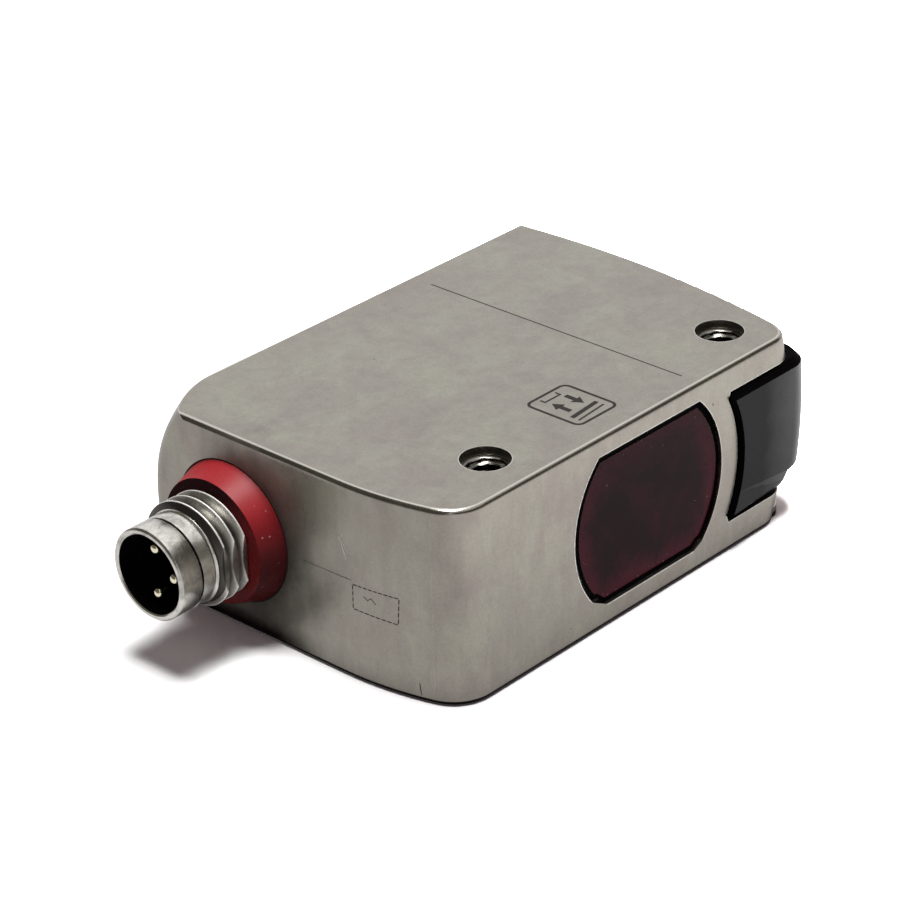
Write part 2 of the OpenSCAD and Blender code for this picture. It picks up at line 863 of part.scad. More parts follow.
module teach_button() {
    tip = end_c[0] + sqrt(pow(cover_bow, 2) - pow(button_y - end_c[1], 2)) + button_proud;
    len = tip - button_back;
    round_at = [button_d / 2 - button_round, len - button_round];
    color([0.3, 0.3, 0.32])
        translate([button_back, button_y, win_z])
            rotate([0, 90, 0])
                rotate_extrude()
                    union() {
                        square([button_flange_d / 2, button_flange_t]);
                        square([button_d / 2, round_at[1]]);
                        square([round_at[0], len]);
                        translate(round_at) circle(r = button_round, $fn = 32);
                    }
}

// Radius of the rolled end at the height z, and what a slope takes off its rim

function rim_at(z, bow, roll) = bow - roll + sqrt(pow(roll, 2) - pow(z - roll_c[1], 2));

module rim_slope(u, z, depth, rise) {
    polygon([[u - depth, z], [u - depth, z + sign(rise)], [u + 2 * depth, z + sign(rise)],
        [u + 2 * depth, z - 3 * rise]]);
}

// Smoked cover that wraps from the lens face round the end

module cover_body() {
    b = cover_bevel;
    h = cover_h - 2 * cover_gap;
    z0 = win_z - h / 2;
    z1 = z0 + h;
    y1 = cover_back - cover_gap;
    roll = end_roll_r + proud_end;
    toe_p = toe_c(cover_bow, cover_front, cover_corner_r);
    difference() {
        intersection() {
            // Front and back edges with their bevels
            translate([win_x, 0, 0])
                rotate([90, 0, 90])
                    linear_extrude(far)
                        polygon([[cover_front, z0 + b], [cover_front + b, z0], [y1 - b, z0],
                            [y1, z0 + b], [y1, z1 - b], [y1 - b, z1], [cover_front + b, z1],
                            [cover_front, z1 - b]]);
            translate(end_c) rotate_extrude($fn = 540) end_section(cover_bow, z0, z1);
        }
        roll_trim(toe_p, cover_corner_r, [0, -1], unit(toe_p - end_c));
        // Bevel of the upper edge round the end, and the slope under it
        translate(end_c)
            rotate_extrude($fn = 540) {
                rim_slope(rim_at(z1, cover_bow, roll), z1, b, b);
                rim_slope(rim_at(z0, cover_bow, roll), z0, under_depth, -under_rise);
            }
        rim_cut(toe_p, [0, -1], unit(toe_p - end_c), z1, proud_end)
            rim_slope(cover_corner_r, z1, b, b);
        rim_cut(toe_p, [0, -1], unit(toe_p - end_c), z0, proud_end)
            rim_slope(cover_corner_r, z0, under_depth, -under_rise);
    }
}

module indicator_cover() {
    arc = cover_arc + cover_gap;
    color([0.15, 0.15, 0.16])
        difference() {
            cover_body();
            window_axis(cover_front - hair, arc_bevel + 2 * fit, arc + arc_bevel + hair, arc + hair - 2 * fit);
            along_y(cover_front - 1, back_y) cover_side(cover_gap);
            inside(seat_depth - cover_seal_t);
            intersection() {
                cover_space(cover_wall);
                translate([0, 0, -1]) linear_extrude(body_h + 2)
                    plan(cover_wall, proud_end, proud_front, cover_corner_r);
            }
            x_rod(button_seat - 2 * cover_wall, button_seat + 4 * cover_wall, button_y, win_z,
                button_d / 2 + run_gap);
        }
}

module cover_seal() {
    color([0.08, 0.08, 0.08])
        difference() {
            intersection() {
                cover_space(cover_gap);
                inside(seat_depth - cover_seal_t + fit);
            }
            inside(seat_depth - fit);
            cover_space(ledge_w);
        }
}

// Turned connector body: nose, groove, coupling thread, neck

module connector_shell() {
    thread_end = thread_x - thread_len;
    groove_x = conn_x - groove_at;
    color([0.75, 0.75, 0.73])
        difference() {
            union() {
                x_rod(rim_x + rim_bevel, thread_end + hair, conn_y, conn_z, nose_d / 2);
                translate([rim_x, conn_y, conn_z]) rotate([0, 90, 0])
                    cylinder(h = rim_bevel + hair, r1 = nose_d / 2 - rim_bevel, r2 = nose_d / 2 + hair);
                intersection() {
                    x_rod(thread_end, thread_x, conn_y, conn_z, thread_d / 2);
                    translate([rim_x, conn_y - thread_flat, 0])
                        cube([nose_reach, 2 * thread_d, body_h]);
                }
                x_rod(thread_x - hair, neck_end, conn_y, conn_z, neck_d / 2);
            }
            x_rod(rim_x - 1, neck_end + 1, conn_y, conn_z, nose_bore / 2);
            difference() {
                x_rod(groove_x - groove_w, groove_x, conn_y, conn_z, nose_d);
                x_rod(groove_x - groove_w - 1, groove_x + 1, conn_y, conn_z,
                    nose_d / 2 - groove_depth);
            }
        }
}

// Soft red collar squeezed between the thread's shoulder and the case

module collar_ring() {
    color([0.75, 0.2, 0.22])
        translate([conn_x, conn_y, conn_z]) rotate([0, -90, 0])
            difference() {
                cylinder(h = collar_len, d1 = collar_d, d2 = collar_front_d, $fn = 120);
                translate([0, 0, -1]) cylinder(h = collar_len + 2, d = neck_d + 2 * fit);
                translate([0, 0, -1])
                    cylinder(h = 1 + collar_len - collar_front_t, d = neck_d + 2 * oring_t + 4 * fit);
            }
}

module connector_oring() {
    color([0.05, 0.05, 0.05])
        translate([conn_x - oring_t / 2 - fit, conn_y, conn_z]) rotate([0, 90, 0])
            rotate_extrude()
                translate([neck_d / 2 + oring_t / 2 + fit, 0]) circle(r = oring_t / 2, $fn = 32);
}

module connector_nut() {
    color([0.8, 0.7, 0.4])
        translate([nut_x, conn_y, conn_z]) rotate([0, 90, 0])
            difference() {
                cylinder(h = nut_t, d = nut_af / cos(30), $fn = 6);
                translate([0, 0, -1]) cylinder(h = nut_t + 2, d = neck_d + 2 * fit);
            }
}

module pin_places() {
    for (a = [0, 90, 180])
        translate([0, pin_circle / 2 * -sin(a), pin_circle / 2 * cos(a)]) children();
}

module connector_insert() {
    color([0.05, 0.05, 0.05])
        difference() {
            x_rod(insert_x, neck_end, conn_y, conn_z, nose_bore / 2 - fit);
            translate([0, conn_y, conn_z]) pin_places()
                x_rod(insert_x - 1, neck_end + 1, 0, 0, pin_d / 2 + fit);
        }
}

module contact_pins() {
    r = pin_d / 2;
    color([0.85, 0.7, 0.35])
        translate([rim_x + pin_inset, conn_y, conn_z])
            pin_places()
                rotate([0, 90, 0]) {
                    translate([0, 0, r]) cylinder(h = cboard_x - rim_x - pin_inset - r, r = r);
                    translate([0, 0, r]) sphere(r = r, $fn = 32);
                }
}

module connector_board() {
    color([0.1, 0.32, 0.18])
        translate([cboard_x, conn_y - cboard_w / 2, conn_z - cboard_w / 2])
            cube([board_t, cboard_w, cboard_w]);
}

// Thin lead from the connector board to the back of the main board

module flex_lead() {
    outer = flex_bend + flex_t;
    x0 = cboard_x + board_t;
    y0 = board_y + board_t;
    c = [x0 + outer, y0 + outer];
    color([0.75, 0.5, 0.2])
        translate([0, 0, conn_z - flex_w / 2])
            linear_extrude(flex_w)
                union() {
                    translate([x0, c[1]]) square([flex_t, conn_y + cboard_w / 4 - c[1]]);
                    translate([c[0], y0]) square([board_gap + flex_w / 2, flex_t]);
                    intersection() {
                        difference() {
                            translate(c) circle(r = outer);
                            translate(c) circle(r = flex_bend);
                        }
                        translate([x0, y0]) square([outer, outer]);
                    }
                }
}

housing();
base_plate();
sleeve_connector_end();
sleeve_indicator_end();
lens_window();
window_seal();
optics_frame();
receiver_lens();
laser_lens();
laser_barrel();
laser_diode();
image_sensor();
main_board();
board_screws();
indicator_board();
indicator_leds();
light_guide();
tact_switch();
switch_plunger();
teach_button();
indicator_cover();
cover_seal();
connector_shell();
collar_ring();
connector_oring();
connector_nut();
connector_insert();
contact_pins();
connector_board();
flex_lead();
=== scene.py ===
# Looks of a miniature laser sensor in a blasted stainless case, for Blender 4.5.
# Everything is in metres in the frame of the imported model: X runs from the
# connector to the indicator end, Y from the lens face to the back, Z is up.
from math import cos, floor, pi, radians, sin

import bmesh
import bpy
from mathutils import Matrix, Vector
from mathutils.bvhtree import BVHTree


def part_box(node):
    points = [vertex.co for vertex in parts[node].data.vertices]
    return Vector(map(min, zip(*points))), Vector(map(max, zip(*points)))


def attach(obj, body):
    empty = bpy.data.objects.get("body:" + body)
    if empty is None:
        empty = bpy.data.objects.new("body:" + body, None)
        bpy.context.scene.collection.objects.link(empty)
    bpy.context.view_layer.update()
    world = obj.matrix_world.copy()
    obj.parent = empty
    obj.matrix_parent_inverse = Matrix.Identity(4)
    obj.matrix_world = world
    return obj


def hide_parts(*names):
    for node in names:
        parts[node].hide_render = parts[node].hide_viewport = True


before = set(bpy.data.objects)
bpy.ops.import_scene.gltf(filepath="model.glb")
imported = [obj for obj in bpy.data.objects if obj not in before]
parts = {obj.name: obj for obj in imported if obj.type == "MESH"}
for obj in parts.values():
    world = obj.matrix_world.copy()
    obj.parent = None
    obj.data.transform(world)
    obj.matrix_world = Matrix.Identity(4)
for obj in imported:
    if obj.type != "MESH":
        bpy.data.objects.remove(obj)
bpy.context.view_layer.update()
MM = 0.001

# Case: a deep-drawn and turned stainless steel shell, bead-blasted to a dull
# grey-gold satin. Its grain, faint clouding and bright worn edges are in the
# material, with painted shade along the foot and round the connector and a
# painted highlight on the upper rims, because the solid already has the real form.


def material(name):
    made = bpy.data.materials.new(name)
    made.use_nodes = True
    return made, made.node_tree, made.node_tree.nodes["Principled BSDF"]


def put(tree, kind, inputs=None, **settings):
    made = tree.nodes.new("ShaderNode" + kind)
    for key, value in settings.items():
        setattr(made, key, value)
    for key, value in (inputs or {}).items():
        if isinstance(value, bpy.types.NodeSocket):
            tree.links.new(value, made.inputs[key])
        else:
            made.inputs[key].default_value = value
    return made


def ramp(tree, value, *stops):
    made = put(tree, "ValToRGB", {"Fac": value})
    band = made.color_ramp.elements
    while len(band) < len(stops):
        band.new(0.5)
    for spot, (place, shade) in zip(band, stops):
        spot.position = place
        spot.color = (shade, shade, shade, 1)
    return made.outputs["Color"]


def mixed(tree, share, first, second, blend="MIX"):
    made = put(tree, "Mix", data_type="RGBA", blend_type=blend)
    for key, value in ((0, share), (6, first), (7, second)):
        if isinstance(value, bpy.types.NodeSocket):
            tree.links.new(value, made.inputs[key])
        else:
            made.inputs[key].default_value = value
    return made.outputs[2]


def maths(tree, operation, *values):
    made = put(tree, "Math", operation=operation)
    for at, value in enumerate(values):
        if isinstance(value, bpy.types.NodeSocket):
            tree.links.new(value, made.inputs[at])
        else:
            made.inputs[at].default_value = value
    return made.outputs[0]


def effect(name, wanted, given):
    tree = bpy.data.node_groups.new(name, "ShaderNodeTree")
    for title, kind, value in wanted:
        socket = tree.interface.new_socket(title, in_out="INPUT", socket_type="NodeSocket" + kind)
        socket.default_value = value
    for title, kind in given:
        tree.interface.new_socket(title, in_out="OUTPUT", socket_type="NodeSocket" + kind)
    return tree, tree.nodes.new("NodeGroupInput").outputs, tree.nodes.new("NodeGroupOutput").inputs


def placed(tree, group, **values):
    made = put(tree, "Group", node_tree=group)
    for key, value in values.items():
        socket = made.inputs[key.replace("_", " ")]
        if isinstance(value, bpy.types.NodeSocket):
            tree.links.new(value, socket)
        else:
            socket.default_value = value
    return made.outputs


def in_mm(tree):
    spot = put(tree, "TexCoord").outputs["Object"]
    return put(tree, "VectorMath", {0: spot, "Scale": 1000.0}, operation="SCALE").outputs[0]


def noise(tree, spot, scale, detail=3.0, rough=0.55, warp=0.0):
    return put(tree, "TexNoise", {"Vector": spot, "Scale": scale, "Detail": detail,
        "Roughness": rough, "Distortion": warp}).outputs["Fac"]


def xyz_in_mm(tree):
    return put(tree, "SeparateXYZ", {0: in_mm(tree)}).outputs


def normal_xyz(tree):
    return put(tree, "SeparateXYZ", {0: put(tree, "NewGeometry").outputs["Normal"]}).outputs


def faded(tree, value, start, end, first=0.0, last=1.0):
    return put(tree, "MapRange", {"Value": value, "From Min": start, "From Max": end, "To Min": first,
        "To Max": last}).outputs[0]


def distance(tree, across, along):
    return maths(tree, "SQRT", maths(tree, "ADD", maths(tree, "MULTIPLY", across, across),
        maths(tree, "MULTIPLY", along, along)))


# Even fine grain with soft clouds of two tints, as blasting leaves on metal
blasting, wanted, given = effect("blasting",
    [("Grain per mm", "Float", 8.0), ("Cloud per mm", "Float", 0.25), ("Clouding", "Float", 0.5),
     ("Tint A", "Color", (0.4, 0.39, 0.34, 1)), ("Tint B", "Color", (0.36, 0.34, 0.31, 1)),
     ("Rough low", "Float", 0.32), ("Rough high", "Float", 0.45)],
    [("Color", "Color"), ("Roughness", "Float"), ("Height", "Float")])
spot = in_mm(blasting)
grain = noise(blasting, spot, wanted["Grain per mm"], 4.0, 0.6)
cloud = noise(blasting, spot, wanted["Cloud per mm"], 5.0, 0.6, 0.6)
patches = ramp(blasting, cloud, (0.35, 0), (0.65, 1))
cloud_share = maths(blasting, "MULTIPLY", patches, wanted["Clouding"])
tinted = mixed(blasting, cloud_share, wanted["Tint A"], wanted["Tint B"])
speckle = ramp(blasting, grain, (0.3, 0.90), (0.7, 1.06))
blasting.links.new(mixed(blasting, 1.0, tinted, speckle, "MULTIPLY"), given["Color"])
spread = maths(blasting, "SUBTRACT", wanted["Rough high"], wanted["Rough low"])
blasting.links.new(maths(blasting, "MULTIPLY_ADD", grain, spread, wanted["Rough low"]), given["Roughness"])
blasting.links.new(grain, given["Height"])

# Share of bright bare metal or scuffed plastic along outer edges
edge_wear, wanted, given = effect("edge wear",
    [("Width mm", "Float", 0.3), ("Patchiness", "Float", 0.5)], [("Mask", "Float")])
reach = maths(edge_wear, "MULTIPLY", wanted["Width mm"], MM)
rounded = put(edge_wear, "Bevel", {"Radius": reach}, samples=6).outputs["Normal"]
facing = put(edge_wear, "VectorMath", {0: rounded, 1: put(edge_wear, "NewGeometry").outputs["Normal"]},
    operation="DOT_PRODUCT").outputs["Value"]
turned_away = ramp(edge_wear, facing, (0.9, 1), (0.995, 0))
patchy = ramp(edge_wear, noise(edge_wear, in_mm(edge_wear), 1.5, 4.0, 0.6), (0.35, 0), (0.6, 1))
kept = maths(edge_wear, "SUBTRACT", 1.0, maths(edge_wear, "MULTIPLY", wanted["Patchiness"],
    maths(edge_wear, "SUBTRACT", 1.0, patchy)))
edge_wear.links.new(maths(edge_wear, "MULTIPLY", turned_away, kept), given["Mask"])

# Sparse round specks, for dust on dark pieces and pits in bright ones
specks, wanted, given = effect("specks",
    [("Per mm", "Float", 1.0), ("Size", "Float", 0.08), ("Share", "Float", 0.1)], [("Mask", "Float")])
cells = put(specks, "TexVoronoi", {"Vector": in_mm(specks), "Scale": wanted["Per mm"]})
near = maths(specks, "LESS_THAN", cells.outputs["Distance"], wanted["Size"])
lot = put(specks, "SeparateColor", {"Color": cells.outputs["Color"]}).outputs[0]
chosen = maths(specks, "LESS_THAN", lot, wanted["Share"])
specks.links.new(maths(specks, "MULTIPLY", near, chosen), given["Mask"])

case_steel, tree, shader = material("case_steel")
blast = placed(tree, blasting, Grain_per_mm=6.0, Cloud_per_mm=0.22, Clouding=1.0,
    Tint_A=(0.345, 0.330, 0.280, 1), Tint_B=(0.305, 0.276, 0.247, 1), Rough_low=0.24, Rough_high=0.34)
wear = placed(tree, edge_wear, Width_mm=0.16)["Mask"]
pits = placed(tree, specks, Per_mm=0.45, Size=0.05, Share=0.10)["Mask"]
# Faint upright streaks, left by wiping and handling
drawn_out = put(tree, "Mapping", {"Vector": in_mm(tree), "Scale": (1.0, 1.0, 0.3)}).outputs[0]
streaks = ramp(tree, noise(tree, drawn_out, 0.9, 5.0, 0.65, 0.4), (0.35, 0.93), (0.65, 1.05))
toned = mixed(tree, 1.0, blast["Color"], streaks, "MULTIPLY")
worn = mixed(tree, maths(tree, "MULTIPLY", wear, 0.8), toned, (0.85, 0.82, 0.77, 1))
pitted = mixed(tree, maths(tree, "MULTIPLY", pits, 0.6), worn, (0.06, 0.055, 0.05, 1))
# Painted shade: a dark line along the foot stands in for the contact shadow under the lower rim, and fades
# at the far front corner
FOOT_LINE = 0.33
place = xyz_in_mm(tree)
far_corner = maths(tree, "MULTIPLY", faded(tree, place[0], 17.2, 17.8), faded(tree, place[1], 2.5, -1.0))
painted_foot_shade = maths(tree, "MULTIPLY", faded(tree, place[2], FOOT_LINE, FOOT_LINE + 0.08, 1.0, 0.0),
    maths(tree, "MULTIPLY_ADD", far_corner, -0.9, 1.0))
pitted_and_shaded = mixed(tree, painted_foot_shade, pitted, (0.004, 0.004, 0.004, 1))
# Painted shade on the connector's side: beside and under the collar, with a dark contact line round it
COLLAR_EDGE = 5.4
low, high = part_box("collar_ring")
off_y = maths(tree, "SUBTRACT", place[1], (low.y + high.y) / 2 / MM)
off_z = maths(tree, "SUBTRACT", place[2], (low.z + high.z) / 2 / MM)
reach = distance(tree, off_y, off_z)
uneven = maths(tree, "MULTIPLY_ADD", noise(tree, in_mm(tree), 0.5, 4.0, 0.6), 2.0, -1.0)
beside = maths(tree, "MULTIPLY",
    faded(tree, maths(tree, "ADD", reach, uneven), COLLAR_EDGE, COLLAR_EDGE + 2.8, 0.6, 0.0),
    faded(tree, off_y, 3.5, -2.5))
below = maths(tree, "MULTIPLY",
    faded(tree, maths(tree, "MULTIPLY_ADD", uneven, 0.3, place[2]), 0.45, 2.1, 1.0, 0.0),
    faded(tree, off_y, -8.5, -4.0))
touching = maths(tree, "MULTIPLY", maths(tree, "LESS_THAN", reach, COLLAR_EDGE + 0.02), 0.9)
painted_connector_shade = maths(tree, "MAXIMUM", beside, maths(tree, "MAXIMUM", below, touching))
connector_side = maths(tree, "LESS_THAN", place[0], low.x / MM + 4.5)
painted_connector_shade = maths(tree, "MULTIPLY", connector_side, painted_connector_shade)
pitted_and_shaded = mixed(tree, painted_connector_shade, pitted_and_shaded, (0.008, 0.006, 0.006, 1))
# Where shade is painted, the steel is made dull and not metallic so that it stays dark
painted_shade_share = maths(tree, "MAXIMUM", painted_foot_shade, maths(tree, "MULTIPLY", painted_connector_shade, 0.85))
tree.links.new(maths(tree, "SUBTRACT", 1.0, painted_shade_share), shader.inputs["Metallic"])
# The rounded rims of the large faces were polished after blasting; along their upper edge a lighter colour
# is a painted highlight
level = maths(tree, "ABSOLUTE", normal_xyz(tree)[2])
rim_band = ramp(tree, level, (0.30, 0), (0.42, 1), (0.90, 1), (0.98, 0))
painted_rim_highlight = ramp(tree, level, (0.86, 0), (0.92, 0.7), (0.985, 0.7), (0.997, 0))
tree.links.new(mixed(tree, painted_rim_highlight, pitted_and_shaded, (0.66, 0.63, 0.57, 1)), shader.inputs["Base Color"])
satin = mixed(tree, rim_band, blast["Roughness"], (0.22, 0.22, 0.22, 1))
tree.links.new(mixed(tree, painted_shade_share, satin, (1.0, 1.0, 1.0, 1)), shader.inputs["Roughness"])
shader.inputs["Specular IOR Level"].default_value = 0.2
bump = put(tree, "Bump", {"Height": blast["Height"], "Strength": 0.08, "Distance": 0.00005})
tree.links.new(bump.outputs[0], shader.inputs["Normal"])


def finish(name, made):
    mesh = parts[name].data
    mesh.materials.clear()
    mesh.materials.append(made)


finish("housing", case_steel)
finish("base_plate", case_steel)

# Screw sleeves: two turned stainless bushes pressed through the case, with an
# M3 thread cut right through them. The thread is modelled here, inside the
# plain tapping bore of the solids.


def new_piece(name, shape, *finishes):
    mesh = bpy.data.meshes.new(name)
    shape.to_mesh(mesh)
    shape.free()
    for each in finishes:
        mesh.materials.append(each)
    piece = bpy.data.objects.new(name, mesh)
    bpy.context.scene.collection.objects.link(piece)
    return piece


def turned_ring(name, rings, sides):
    shape = bmesh.new()
    rows = [[shape.verts.new(spot) for spot in ring] for ring in rings]
    for row, after in zip(rows, rows[1:] + rows[:1]):
        for at in range(sides):
            nxt = (at + 1) % sides
            shape.faces.new((row[at], row[nxt], after[nxt], after[at]))
    bmesh.ops.recalc_face_normals(shape, faces=shape.faces)
    return new_piece(name, shape)


def smoothed(piece, degrees):
    mesh = piece.data
    mesh.shade_smooth()
    shape = bmesh.new()
    shape.from_mesh(mesh)
    for edge in shape.edges:
        if len(edge.link_faces) == 2 and edge.calc_face_angle(0) > radians(degrees):
            edge.smooth = False
    shape.to_mesh(mesh)
    shape.free()


def thread_wave(turns, crest, root):
    t = turns - floor(turns)
    flank = (1 - crest - root) / 2
    if t < crest / 2 or t > 1 - crest / 2:
        return 1.0
    if t > 0.5:
        t = 1 - t
    if t > 0.5 - root / 2:
        return 0.0
    return (0.5 - root / 2 - t) / flank


turned_steel, tree, shader = material("turned_steel")
blast = placed(tree, blasting, Grain_per_mm=14.0, Clouding=0.3, Tint_A=(0.6, 0.59, 0.55, 1),
    Tint_B=(0.5, 0.49, 0.46, 1), Rough_low=0.2, Rough_high=0.34)
tree.links.new(blast["Color"], shader.inputs["Base Color"])
tree.links.new(blast["Roughness"], shader.inputs["Roughness"])
shader.inputs["Metallic"].default_value = 1.0
bump = put(tree, "Bump", {"Height": blast["Height"], "Strength": 0.04, "Distance": 0.00004})
tree.links.new(bump.outputs[0], shader.inputs["Normal"])

# Painted shade: inside the bushes the steel is darkened away from the mouths
shaded_bore_steel, tree, shader = material("shaded_bore_steel")
blast = placed(tree, blasting, Grain_per_mm=9.0, Clouding=0.5, Tint_A=(0.5, 0.48, 0.43, 1),
    Tint_B=(0.4, 0.38, 0.34, 1), Rough_low=0.16, Rough_high=0.3)
low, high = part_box("sleeve_connector_end")
middle = (low.z + high.z) / 2 / MM
from_middle = maths(tree, "ABSOLUTE", maths(tree, "SUBTRACT", xyz_in_mm(tree)[2], middle))
painted_bore_shade = faded(tree, from_middle, middle - 0.75, middle - 0.1, 0.05, 0.48)
tree.links.new(mixed(tree, 1.0, blast["Color"], painted_bore_shade, "MULTIPLY"), shader.inputs["Base Color"])
tree.links.new(blast["Roughness"], shader.inputs["Roughness"])
shader.inputs["Metallic"].default_value = 1.0

THREAD_M3 = dict(pitch=0.5, minor=1.25, major=1.53, crest=0.15, root=0.3, lead_in=0.3)
CHAMFER = 0.06
MOUTH = 0.05
ROW_STEP = 0.05
for which in ("sleeve_connector_end", "sleeve_indicator_end"):
    low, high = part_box(which)
    axis = (low + high) / 2
    top = (high.z - low.z) / MM
    outer = (high.x - low.x) / 2 / MM
    outline = [(0, outer), (top - CHAMFER, outer), (top, outer - CHAMFER)]
    steps = int((top - 2 * MOUTH) / ROW_STEP)
    bore = [MOUTH + (top - 2 * MOUTH) * k / steps for k in range(steps, -1, -1)]
    sides = 64
    rings = [[(axis.x + r * MM * cos(2 * pi * k / sides), axis.y + r * MM * sin(2 * pi * k / sides),
        low.z + h * MM) for k in range(sides)] for h, r in outline]
    for h in bore:
        ring = []
        lead = max(0.0, THREAD_M3["lead_in"] - min(h, top - h))
        for k in range(sides):
            wave = thread_wave(h / THREAD_M3["pitch"] + k / sides, THREAD_M3["crest"], THREAD_M3["root"])
            r = THREAD_M3["major"] - wave * (THREAD_M3["major"] - THREAD_M3["minor"])
            r = max(r, THREAD_M3["minor"] + lead)
            ring.append((axis.x + r * MM * cos(2 * pi * k / sides),
                axis.y + r * MM * sin(2 * pi * k / sides), low.z + h * MM))
        rings.append(ring)
    bush = turned_ring("threaded_" + which, rings, sides)
    smoothed(bush, 50)
    bush.data.materials.append(shaded_bore_steel)
    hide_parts(which)
    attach(bush, "body")

# Marks on the case: laser-darkened lines a few microns proud of the steel. They
# are a plain rule, a pictogram of light going out and coming back, and a faint
# empty frame on the connector's side. Scratches and scuffs of use are there too.
case_mesh = parts["housing"].data
case_skin = BVHTree.FromPolygons([corner.co for corner in case_mesh.vertices],
    [tuple(face.vertices) for face in case_mesh.polygons])
CAST_FROM = 4.0
CAST_LONG = 5.8


def laid_on_case(shape, corners, start, right, up, lift=0.008):
    inward = right.cross(up) * -1
    laid = []
    for across, along in corners:
        spot = (start + right * across + up * along) * MM
        hit = case_skin.ray_cast(spot - inward * (CAST_FROM * MM), inward, CAST_LONG * MM)[0]
        laid.append(shape.verts.new((hit or spot) - inward * lift * MM))
    return laid


def ribbon(points, width, closed=False, step=0.25):
    fine = []
    last = len(points) if closed else len(points) - 1
    for at in range(last):
        one = Vector(points[at])
        two = Vector(points[(at + 1) % len(points)])
        pieces = max(1, int((two - one).length / step))
        fine += [one.lerp(two, k / pieces) for k in range(pieces)]
    if not closed:
        fine.append(Vector(points[-1]))
    sides = []
    for at, here in enumerate(fine):
        before = fine[at - 1] if at or closed else here
        after = fine[(at + 1) % len(fine)] if at + 1 < len(fine) or closed else here
        first = (here - before).normalized() if (here - before).length else (after - here).normalized()
        second = (after - here).normalized() if (after - here).length else first
        normal = Vector((-first.y - second.y, first.x + second.x)).normalized()
        reach = width / 2 / max(0.5, normal.dot(Vector((-first.y, first.x))))
        sides.append((here + normal * reach, here - normal * reach))
    return sides


def etched(name, lines, plates, start, right, up, made):
    shape = bmesh.new()
    for points, width, closed in lines:
        sides = ribbon(points, width, closed)
        left = laid_on_case(shape, [side[0] for side in sides], start, right, up)
        other = laid_on_case(shape, [side[1] for side in sides], start, right, up)
        for at in range(len(sides) if closed else len(sides) - 1):
            after = (at + 1) % len(sides)
            shape.faces.new((left[at], other[at], other[after], left[after]))
    for corners in plates:
        shape.faces.new(laid_on_case(shape, corners, start, right, up))
    bmesh.ops.triangulate(shape, faces=shape.faces)
    bmesh.ops.recalc_face_normals(shape, faces=shape.faces)
    out = right.cross(up)
    for face in shape.faces:
        face.normal_update()
        if face.normal.dot(out) < 0:
            face.normal_flip()
    piece = new_piece(name, shape, made)
    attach(piece, "body")


def laser_grey(name, dark, light, metal=0.0):
    made, tree, shader = material(name)
    burn = noise(tree, in_mm(tree), 5.0, 4.0, 0.7)
    patches = ramp(tree, burn, (0.35, 0), (0.65, 1))
    tree.links.new(mixed(tree, patches, dark, light), shader.inputs["Base Color"])
    tree.links.new(maths(tree, "MULTIPLY_ADD", burn, 0.2, 0.55), shader.inputs["Roughness"])
    shader.inputs["Specular IOR Level"].default_value = 0.15
    shader.inputs["Metallic"].default_value = metal
    return made


deep_mark = laser_grey("deep_mark", (0.020, 0.018, 0.016, 1), (0.034, 0.030, 0.027, 1))
faint_mark = laser_grey("faint_mark", (0.045, 0.038, 0.034, 1), (0.15, 0.13, 0.12, 1))
# Bright lines: real scuffs, and a painted highlight on the window's edge
bright_scuff_and_highlight = laser_grey("bright_scuff_and_highlight", (0.62, 0.60, 0.56, 1), (0.98, 0.96, 0.92, 1), 1.0)

low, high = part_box("housing")
towards_front = Vector((0, -1, 0))
towards_end = Vector((1, 0, 0))
upright = Vector((0, 0, 1))
top_start = Vector((0, 0, high.z / MM))
etched("rule_line", [([(-21.5, 5.3), (2.45, 5.3)], 0.095, False)], [],
    top_start, towards_front, towards_end, deep_mark)


def rounded_box(left, bottom, right, top, radius, steps=6):
    corners = []
    for x, y, start in ((right - radius, bottom + radius, -90), (right - radius, top - radius, 0),
            (left + radius, top - radius, 90), (left + radius, bottom + radius, 180)):
        for k in range(steps + 1):
            turn = radians(start + 90 * k / steps)
            corners.append((x + radius * cos(turn), y + radius * sin(turn)))
    return corners


SHAFT = 0.2
HEAD = 0.5
HEAD_LONG = 0.8


def arrow(tail, tip):
    neck = tip[0] - (HEAD_LONG if tip[0] > tail[0] else -HEAD_LONG)
    bar = [(tail[0], tail[1] - SHAFT), (neck, tail[1] - SHAFT),
        (neck, tail[1] + SHAFT), (tail[0], tail[1] + SHAFT)]
    point = [(neck, tail[1] - HEAD), tip, (neck, tail[1] + HEAD)]
    return [bar, point]


etched("range_pictogram",
    [(rounded_box(-3.1, -5.05, 1.78, -0.9, 0.55), 0.22, True),
     ([(-2.75, -2.3), (-2.3, -2.3), (-2.3, -3.9), (-2.75, -3.9)], 0.15, False),
     ([(0.36, -1.5), (0.62, -4.45)], 0.36, False),
     ([(0.98, -1.5), (1.23, -4.45)], 0.15, False)],
    arrow((-1.9, -2.2), (-0.2, -2.2)) + arrow((-0.1, -3.75), (-1.8, -3.75)),
    top_start, towards_front, towards_end, deep_mark)

